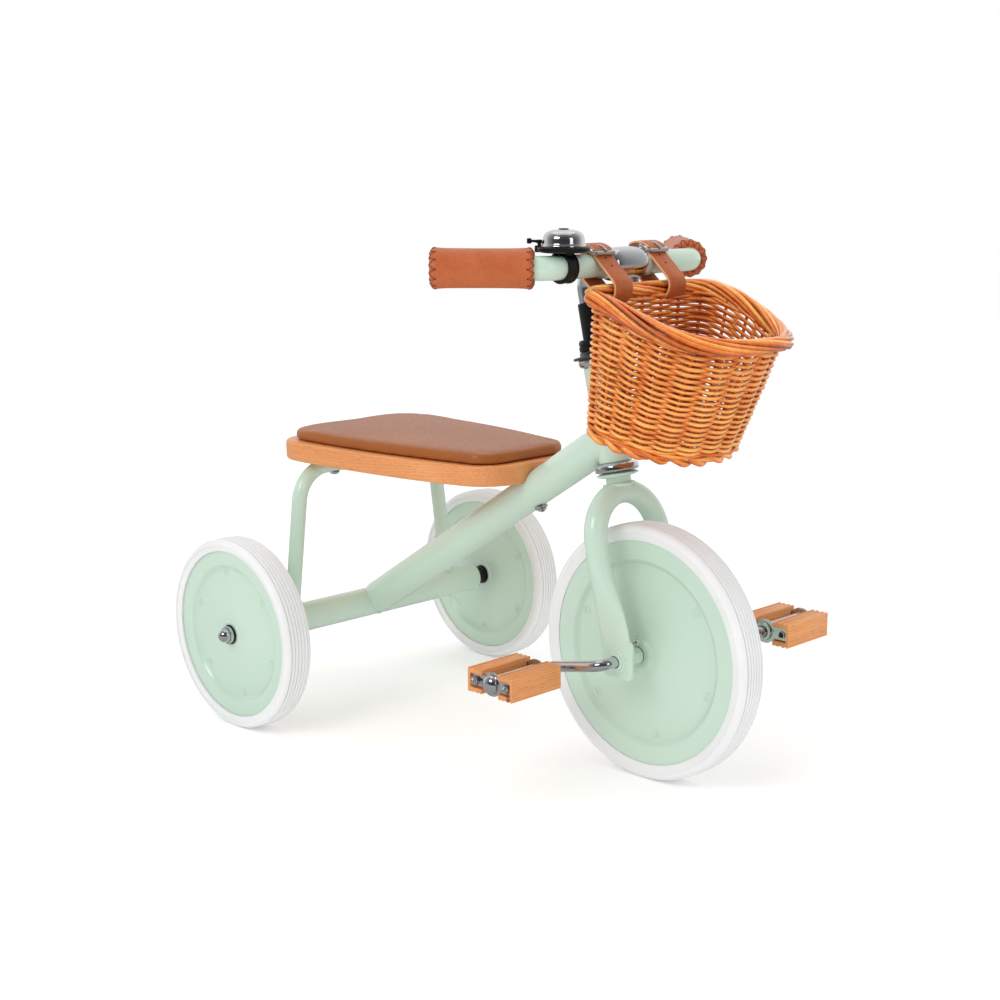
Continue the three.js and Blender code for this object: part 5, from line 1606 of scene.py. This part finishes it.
def weave_wall(basket):
    """One weaver after another winds up the wall, in front of one stake and behind the next."""
    first, last = WALL_ROWS
    rows = round((last - first) * (RIM_Z - FOOT_Z) / ROW_PITCH)
    total = rows * STAKES
    per_stake = 7
    start = 0.0
    while start < total:
        length = min(rng.uniform(1.6, 2.9) * STAKES, total - start + 0.5)
        t = np.arange(0, length, 1 / per_stake) + start
        share = first + (last - first) * np.minimum(t / total, 1)
        seed = rng.uniform(0, 50)
        point, outward, up = wall_frame(t / STAKES, share)
        swing = (STAKE_RADIUS + WEAVER_RADIUS * 0.9) * np.cos(math.pi * t)
        point = point + outward * swing[:, None] + up * wander(t / STAKES, seed, 0.32)[:, None]
        thick = WEAVER_RADIUS * (1 + 0.12 * np.sin(t * 0.9 + seed)) * rng.uniform(0.9, 1.14)
        # painted light and shade: a weaver's tone rises where it passes in front of a stake and falls where
        # it goes behind one, and shade=0.4 paints its upper side lighter and its underside darker
        tone = rng.uniform(0.37, 0.63) + 0.08 * np.sin(t * 1.3 + seed) + 0.27 * np.cos(math.pi * t)
        basket.with_shape(sweep(point, thick, tone=np.clip(tone, 0, 1), sides=8, shade=0.4))
        start += length - 0.5


def weave_wale(basket):
    """Three thicker weavers just over the foot, each over two stakes and behind one."""
    t = np.arange(0, STAKES, 1 / 9)
    for row in range(WALE_ROWS):
        point, outward, up = wall_frame(t / STAKES, WALE_START + WALE_PITCH * row)
        swing = 2.1 * np.cos(TAU * (t + row) / 3 * (STAKES // 3 * 3) / STAKES) + 1.0
        point = point + outward * swing[:, None] + up * wander(t / STAKES, row * 5.0, 0.3)[:, None]
        tone = np.clip(0.5 + 0.2 * np.sin(t * 0.8 + row), 0, 1)
        # shade=0.2 paints each wale rod lighter on top and darker beneath, as painted light and shade
        basket.with_shape(sweep(point, 1.75, closed=True, tone=tone, sides=8, shade=0.2))


def stand_stakes(basket):
    for k in range(STAKES):
        share = np.linspace(-0.01, 0.93, 26)
        lean = rng.uniform(-0.0035, 0.0035)
        way = k / STAKES + lean * (share - 0.4)
        point = wall_frame(way, share)[0]
        thick = STAKE_RADIUS * np.linspace(1.12, 0.9, len(share))
        tone = rng.uniform(0.35, 0.6)
        basket.with_shape(sweep(point, thick, hint=(1, 0, 0), tone=tone, sides=8))


def wind_border(basket, centre, cover, half_width, half_height, radius, tones):
    """Rods that each wind once round a roll while running along it past cover stakes, one from
    every stake."""
    t = np.linspace(0, 1, 60)
    for k in range(STAKES):
        way = (k + rng.uniform(-0.18, 0.18)) / STAKES + t * cover / STAKES
        turn = 1.5 * math.pi - TAU * t + rng.uniform(-0.1, 0.1)
        point, outward, up = centre(way)
        ends = 1 - 0.04 * np.exp(-t * 14) - 0.1 * np.exp(-(1 - t) * 14)
        squeeze = 1 + 0.05 * np.sin(t * 11 + k)
        point = (point + outward * (half_width * np.cos(turn) * squeeze)[:, None]
                 + up * (half_height(way) * np.sin(turn) * squeeze * ends)[:, None])
        thick = radius * (1 + 0.07 * np.sin(t * 9 + k * 2.1)) * rng.uniform(0.92, 1.06)
        thick = thick * np.minimum(1, 0.55 + 3.5 * np.minimum(t, 1 - t))
        tone = np.clip(rng.uniform(*tones) + 0.1 * np.sin(t * 8 + k), 0, 1)
        # shade=0.4 paints each rod lighter on its upper side and darker beneath, as painted light and shade
        basket.with_shape(sweep(point, thick, hint=(0.3, 0.2, 1), tone=tone, sides=12, shade=0.4))


def rim_centre(way):
    point, outward, up = wall_frame(way, 1.0, inset=7.4)
    outward = unit(outward * (1, 1, 0))
    up = np.broadcast_to(np.array([0.0, 0.0, 1.0]), outward.shape)
    return point - up * rim_half_height(way)[:, None] - up * 2.6, outward, up


def rim_half_height(way):
    """The rolled rim is taller along the sides than at the back and front."""
    return 5.3 + 2.6 * np.sin(TAU * np.asarray(way, float)) ** 2


def foot_centre(way):
    point, outward, up = wall_frame(way, 0.0, inset=3.2)
    return point + up * 1.2, unit(outward), up


def cut_ends(borders):
    """Short slanting ends of rods that stick out under the rolled rim."""
    for k in range(0, STAKES, 2):
        way = (k + rng.uniform(0.2, 0.8)) / STAKES + np.linspace(0, 0.018, 5)
        share = 0.925 - np.linspace(0, 0.02, 5) * rng.uniform(0.6, 1.6)
        point, outward, _ = wall_frame(way, share)
        point = point + outward * np.linspace(3.4, 5.2, 5)[:, None]
        tone = rng.uniform(0.2, 0.5)
        # shade=0.15 paints each end a little lighter on top and darker beneath, as painted light and shade
        borders.with_shape(sweep(point, np.linspace(1.7, 1.3, 5), tone=tone, sides=8, shade=0.15))


def weave_base(basket):
    """The floor: long sticks along the basket, with weavers over and under across them."""
    sticks = 9
    spread = np.linspace(-0.82, 0.82, sticks) * (FOOT_HALF - 6)

    def floor_z(x):
        return FOOT_Z - FOOT_SLOPE * (x - FOOT_BACK) + 3.4

    edge = basket_point(np.linspace(0, TAU, 400), 0.0, 6.0)
    for y in spread:
        near = edge[np.abs(edge[:, 1] - y) < 2.5]
        low, high = near[:, 0].min(), near[:, 0].max()
        x = np.linspace(low, high, 14)
        basket.with_shape(sweep(np.stack([x, np.full(14, y), floor_z(x)], 1), 1.9, tone=0.5, sides=8))
    spacing = 3.6
    for row, x in enumerate(np.arange(FOOT_BACK + 8, FOOT_FRONT - 7, spacing)):
        near = edge[np.abs(edge[:, 0] - x) < 2.0]
        if len(near) == 0:
            continue
        reach = np.abs(near[:, 1]).max()
        y = np.arange(-reach, reach, 2.4)
        swing = 1.9 * np.cos(math.pi * (y - spread[0]) / (spread[1] - spread[0]) + math.pi * row)
        points = np.stack([np.full(len(y), x), y, floor_z(x) + swing], 1)
        basket.with_shape(sweep(points, 1.55, tone=rng.uniform(0.3, 0.7), sides=7))


def add_basket():
    wall = Shape()
    stand_stakes(wall)
    weave_wall(wall)
    weave_wale(wall)
    weave_base(wall)
    piece("basket_weave", wall, TRIKE, "steering", WICKER, ["basket"], crease=70)
    borders = Shape()
    wind_border(borders, rim_centre, 9.0, ROLL_HALF_WIDTH, rim_half_height, RIM_ROD_RADIUS, (0.2, 0.85))
    core, _, _ = rim_centre(np.linspace(0, 1, 200, endpoint=False))
    borders.with_shape(sweep(core, 3.9, closed=True, tone=0.25, sides=10))
    wind_border(borders, foot_centre, 2.2, 3.0, lambda way: 3.2, FOOT_ROD_RADIUS, (0.35, 0.7))
    cut_ends(borders)
    piece("basket_borders", borders, TRIKE, "steering", WICKER, crease=70)


add_basket()


# ---------------------------------------------------------------- straps and buckles

STRAP_Y = 38
STRAP_WIDTH = 24.5
STRAP_THICK = 2.4
STRAP_EDGE = 0.8                # radius of the strap's long edges
TONGUE_STEPS = 22
BUCKLE_ANGLE = 70               # degrees round the bar from its front
STRAP_RIM = (RIM_BACK + WALL, RIM_Z - 5, 11)        # x, z and radius that the strap hugs at the rim


def belt_run():
    """The bar's and the rim's centres in X and Z, the direction from the first to the second, and
    the angle from there to where the strap leaves them both."""
    bar, rim = np.array([BAR_X, BAR_Z]), np.array(STRAP_RIM[:2])
    run = rim - bar
    spread = math.acos((BAR_RADIUS + GAP - STRAP_RIM[2]) / np.linalg.norm(run))
    return bar, rim, math.atan2(run[1], run[0]), spread


def belt_loop(extra):
    """The strap's loop round the bar and the rim, as X and Z points, starting on top of the bar."""
    bar, rim, tilt, spread = belt_run()
    arcs = ((bar, BAR_RADIUS, np.linspace(tilt + spread, tilt - spread + TAU, 40), GAP + extra),
            (rim, STRAP_RIM[2], np.linspace(tilt - spread, tilt + spread, 32), extra))
    points = np.concatenate([centre + (radius + proud) * np.stack([np.cos(angles), np.sin(angles)], 1)
                             for centre, radius, angles, proud in arcs])
    dense = []
    for p, q in zip(points, np.roll(points, -1, 0)):
        steps = max(1, int(np.linalg.norm(q - p) / 2.5))
        dense.extend(p + (q - p) * k / steps for k in range(steps))
    return np.array(dense)


def strap_section(width, thick=STRAP_THICK):
    """A strip's outline across its length with soft edges: thickness first, then width."""
    return np.array(rounded_box_outline(thick, width, STRAP_EDGE, 3))


def ribbon(xz, y, outlines, closed):
    """A strip whose middle follows points in X and Z. Its cut edges are pale, by a high tone."""
    path = np.stack([xz[:, 0], np.full(len(xz), y), xz[:, 1]], 1)
    across = np.array([0.0, 1.0, 0.0])
    normal = np.cross(path_frames(path, closed, across)[0], across)
    rings = [point + outline[:, :1] * n + outline[:, 1:] * across
             for point, outline, n in zip(path, outlines, normal)]
    edge = np.abs(strap_section(STRAP_WIDTH)[:, 1]) > STRAP_WIDTH / 2 - 0.5
    return skin(rings, closed, np.tile(np.where(edge, 1.0, 0.3), len(rings)))


def tongue_shape(y):
    """The strap's free end, lying back over the bar from the buckle with a rounded tip."""
    radius = BAR_RADIUS + GAP + STRAP_THICK * 1.5 + 2.1
    angles = np.radians(np.linspace(60, 150, TONGUE_STEPS))
    lift = np.linspace(0, 1, TONGUE_STEPS) ** 1.5 * 8
    xz = (BAR_X, BAR_Z) + (radius + lift)[:, None] * np.stack([np.cos(angles), np.sin(angles)], 1)
    tip = np.clip((np.arange(TONGUE_STEPS) - 15) / 6, 0, 1)
    widths = STRAP_WIDTH * np.maximum(0.18, np.sqrt(np.maximum(0.0, 1 - tip ** 2 * 0.97)))
    return ribbon(xz, y, [strap_section(width, STRAP_THICK * 0.9) for width in widths], False)


def strap_shape(y):
    """The closed belt and the free tongue behind the buckle."""
    loop = belt_loop(STRAP_THICK / 2)
    belt = ribbon(loop, y, [strap_section(STRAP_WIDTH)] * len(loop), True)
    return belt.with_shape(tongue_shape(y))


def strap_holes(y):
    """Punched holes down the straight run in front, drawn as near-black discs of painted shade."""
    shape = Shape()
    bar, rim, tilt, spread = belt_run()
    a = tilt + spread
    out = np.array([math.cos(a), math.sin(a)])
    start = bar + (BAR_RADIUS + GAP + STRAP_THICK) * out
    end = rim + (STRAP_RIM[2] + STRAP_THICK) * out
    for share in (0.14, 0.48):
        x, z = start + (end - start) * share
        shape.with_shape(painted_shade_disc(1.1, -0.6, 0.06, 20, a).shifted(x, y, z))
    return shape


def buckle_shape(y):
    """A roller buckle: a bent wire frame, a roller on its front bar and a prong."""
    half = STRAP_WIDTH / 2 + 2.2
    length = 12.5
    wire = arc_path([(0, 0, 0), (0, half, 0), (length, half, 0), (length, -half, 0), (0, -half, 0),
                     (0, -0.01, 0)], 2.2, 1.0)
    buckle = sweep(wire, 1.35, sides=14)
    end = STRAP_WIDTH / 2
    roller = lathe([(1.4, -end), (2.3, -end), (2.3, end), (1.4, end), (1.4, -end)], 28)
    buckle.with_shape(roller.shifted(length))
    prong = arc_path([(-0.6, 0, 0.8), (5, 0, 4.0), (length + 2.3, 0, 3.1)], 8, 1.0)
    buckle.with_shape(sweep(prong, 1.0, sides=12))
    buckle.shifted(-length / 2).moved(Matrix.Rotation(math.radians(94 - BUCKLE_ANGLE), 4, "Y"))
    place = around_y(BAR_RADIUS + GAP + STRAP_THICK + 1.5, math.radians(BUCKLE_ANGLE), y)
    return buckle.shifted(BAR_X, 0, BAR_Z).shifted(*place)


def add_straps():
    for name, side in SIDES.items():
        y = STRAP_Y * side
        piece(f"strap_{name}_belt", strap_shape(y), TRIKE, "steering", STRAP_LEATHER,
              [f"strap_{name}"], crease=50)
        piece(f"strap_{name}_holes", strap_holes(y), TRIKE, "steering", HOLE_SHADE)
        piece(f"buckle_{name}_roller", buckle_shape(y), TRIKE, "steering", PLATED,
              [f"buckle_{name}"])


add_straps()


# ---------------------------------------------------------------- carried-over nodes

CARRIED = {
    "rear_axle": STEEL,
    "rear_right_hub_bush": BLACK,
    "rear_left_hub_bush": BLACK,
    "front_hub_sleeve": STEEL,
    "stem_clamp_bolt": STEEL,
}


def dress_carried_nodes():
    for node, finish in CARRIED.items():
        mesh = frame["nodes"][node].data
        mesh.materials.clear()
        mesh.materials.append(finish.look)


dress_carried_nodes()


# ---------------------------------------------------------------- stage and light

FLOOR_SIZE = 14.0
FLOOR_GLOW = 0.17                # keeps the far floor as white as the wall behind it
DOME_STRENGTH = 0.87
ROOM_FRONT = (0.72, -0.69, 0)    # the side on which mirrors see the room darken


def add_floor():
    half = FLOOR_SIZE / 2
    mesh = bpy.data.meshes.new("floor")
    corners = [(-half, -half, 0), (half, -half, 0), (half, half, 0), (-half, half, 0)]
    mesh.from_pydata(corners, [], [(0, 1, 2, 3)])
    floor = new_object("floor", mesh)
    look = Look("floor", Roughness=0.9, Specular_IOR_Level=0.1)
    mirrored_ray = look.node("ShaderNodeLightPath").outputs["Is Glossy Ray"]
    look.drive("Base Color", look.mix(mirrored_ray, grey(0.96), grey(0.42)))
    look.drive("Emission Strength", look.range(mirrored_ray, 0, 1, FLOOR_GLOW, 0.0))
    mesh.materials.append(look.material)


def add_panel(name, place, target, size, watts):
    data = bpy.data.lights.new(name, "AREA")
    data.shape = "RECTANGLE"
    data.size, data.size_y = size
    data.energy = watts
    lamp = new_object(name, data)
    lamp.location = place
    lamp.rotation_euler = (Vector(target) - Vector(place)).to_track_quat("-Z", "Y").to_euler()


def add_world():
    """An even white dome for the light; mirrors see a room that darkens towards its front."""
    world = bpy.data.worlds.new("studio")
    world.use_nodes = True
    tree = world.node_tree

    def node(kind, inputs=(), **settings):
        return add_node(tree, kind, inputs, **settings)

    place = node("ShaderNodeTexCoord").outputs["Generated"]
    tall = node("ShaderNodeVectorMath", {0: place, 1: (1, 1, 2)}, operation="MULTIPLY").outputs[0]
    level = node("ShaderNodeVectorMath", {0: tall}, operation="NORMALIZE").outputs[0]
    facing = node("ShaderNodeVectorMath", {0: level, 1: ROOM_FRONT}, operation="DOT_PRODUCT")
    front = node("ShaderNodeMapRange", {"Value": facing.outputs["Value"], "From Min": -1}).outputs[0]
    shade = node("ShaderNodeValToRGB", {0: front})
    stops = shade.color_ramp.elements
    for position, value in ((0.5, 0.3), (0.75, 0.09)):
        stops.new(position).color = grey(value)
    stops[0].position, stops[0].color = 0.25, grey(0.9)
    stops[-1].position, stops[-1].color = 0.95, (0.05, 0.05, 0.055, 1)
    ray = node("ShaderNodeLightPath").outputs
    dome = node("ShaderNodeBackground", {"Color": grey(1), "Strength": DOME_STRENGTH}).outputs[0]
    mirrored_room = node("ShaderNodeBackground", {"Color": shade.outputs["Color"]}).outputs[0]
    plain = node("ShaderNodeBackground", {"Color": grey(1)}).outputs[0]
    lit = node("ShaderNodeMixShader", {0: ray["Is Glossy Ray"], 1: dome, 2: mirrored_room}).outputs[0]
    seen = node("ShaderNodeMixShader", {0: ray["Is Camera Ray"], 1: lit, 2: plain}).outputs[0]
    tree.links.new(seen, tree.nodes["World Output"].inputs["Surface"])
    bpy.context.scene.world = world


def add_light():
    add_panel("key", (0.2, -2.3, 1.9), (0, 0, 0.25), (1.2, 0.9), 15.5)
    add_panel("fill", (2.5, -0.2, 1.2), (0, 0, 0.25), (0.7, 1.2), 4)
    add_panel("top", (-0.3, 0.3, 2.6), (0, 0, 0.2), (2.2, 2.2), 8)
    bpy.context.scene.view_settings.view_transform = "Standard"
    add_world()


add_floor()
add_light()
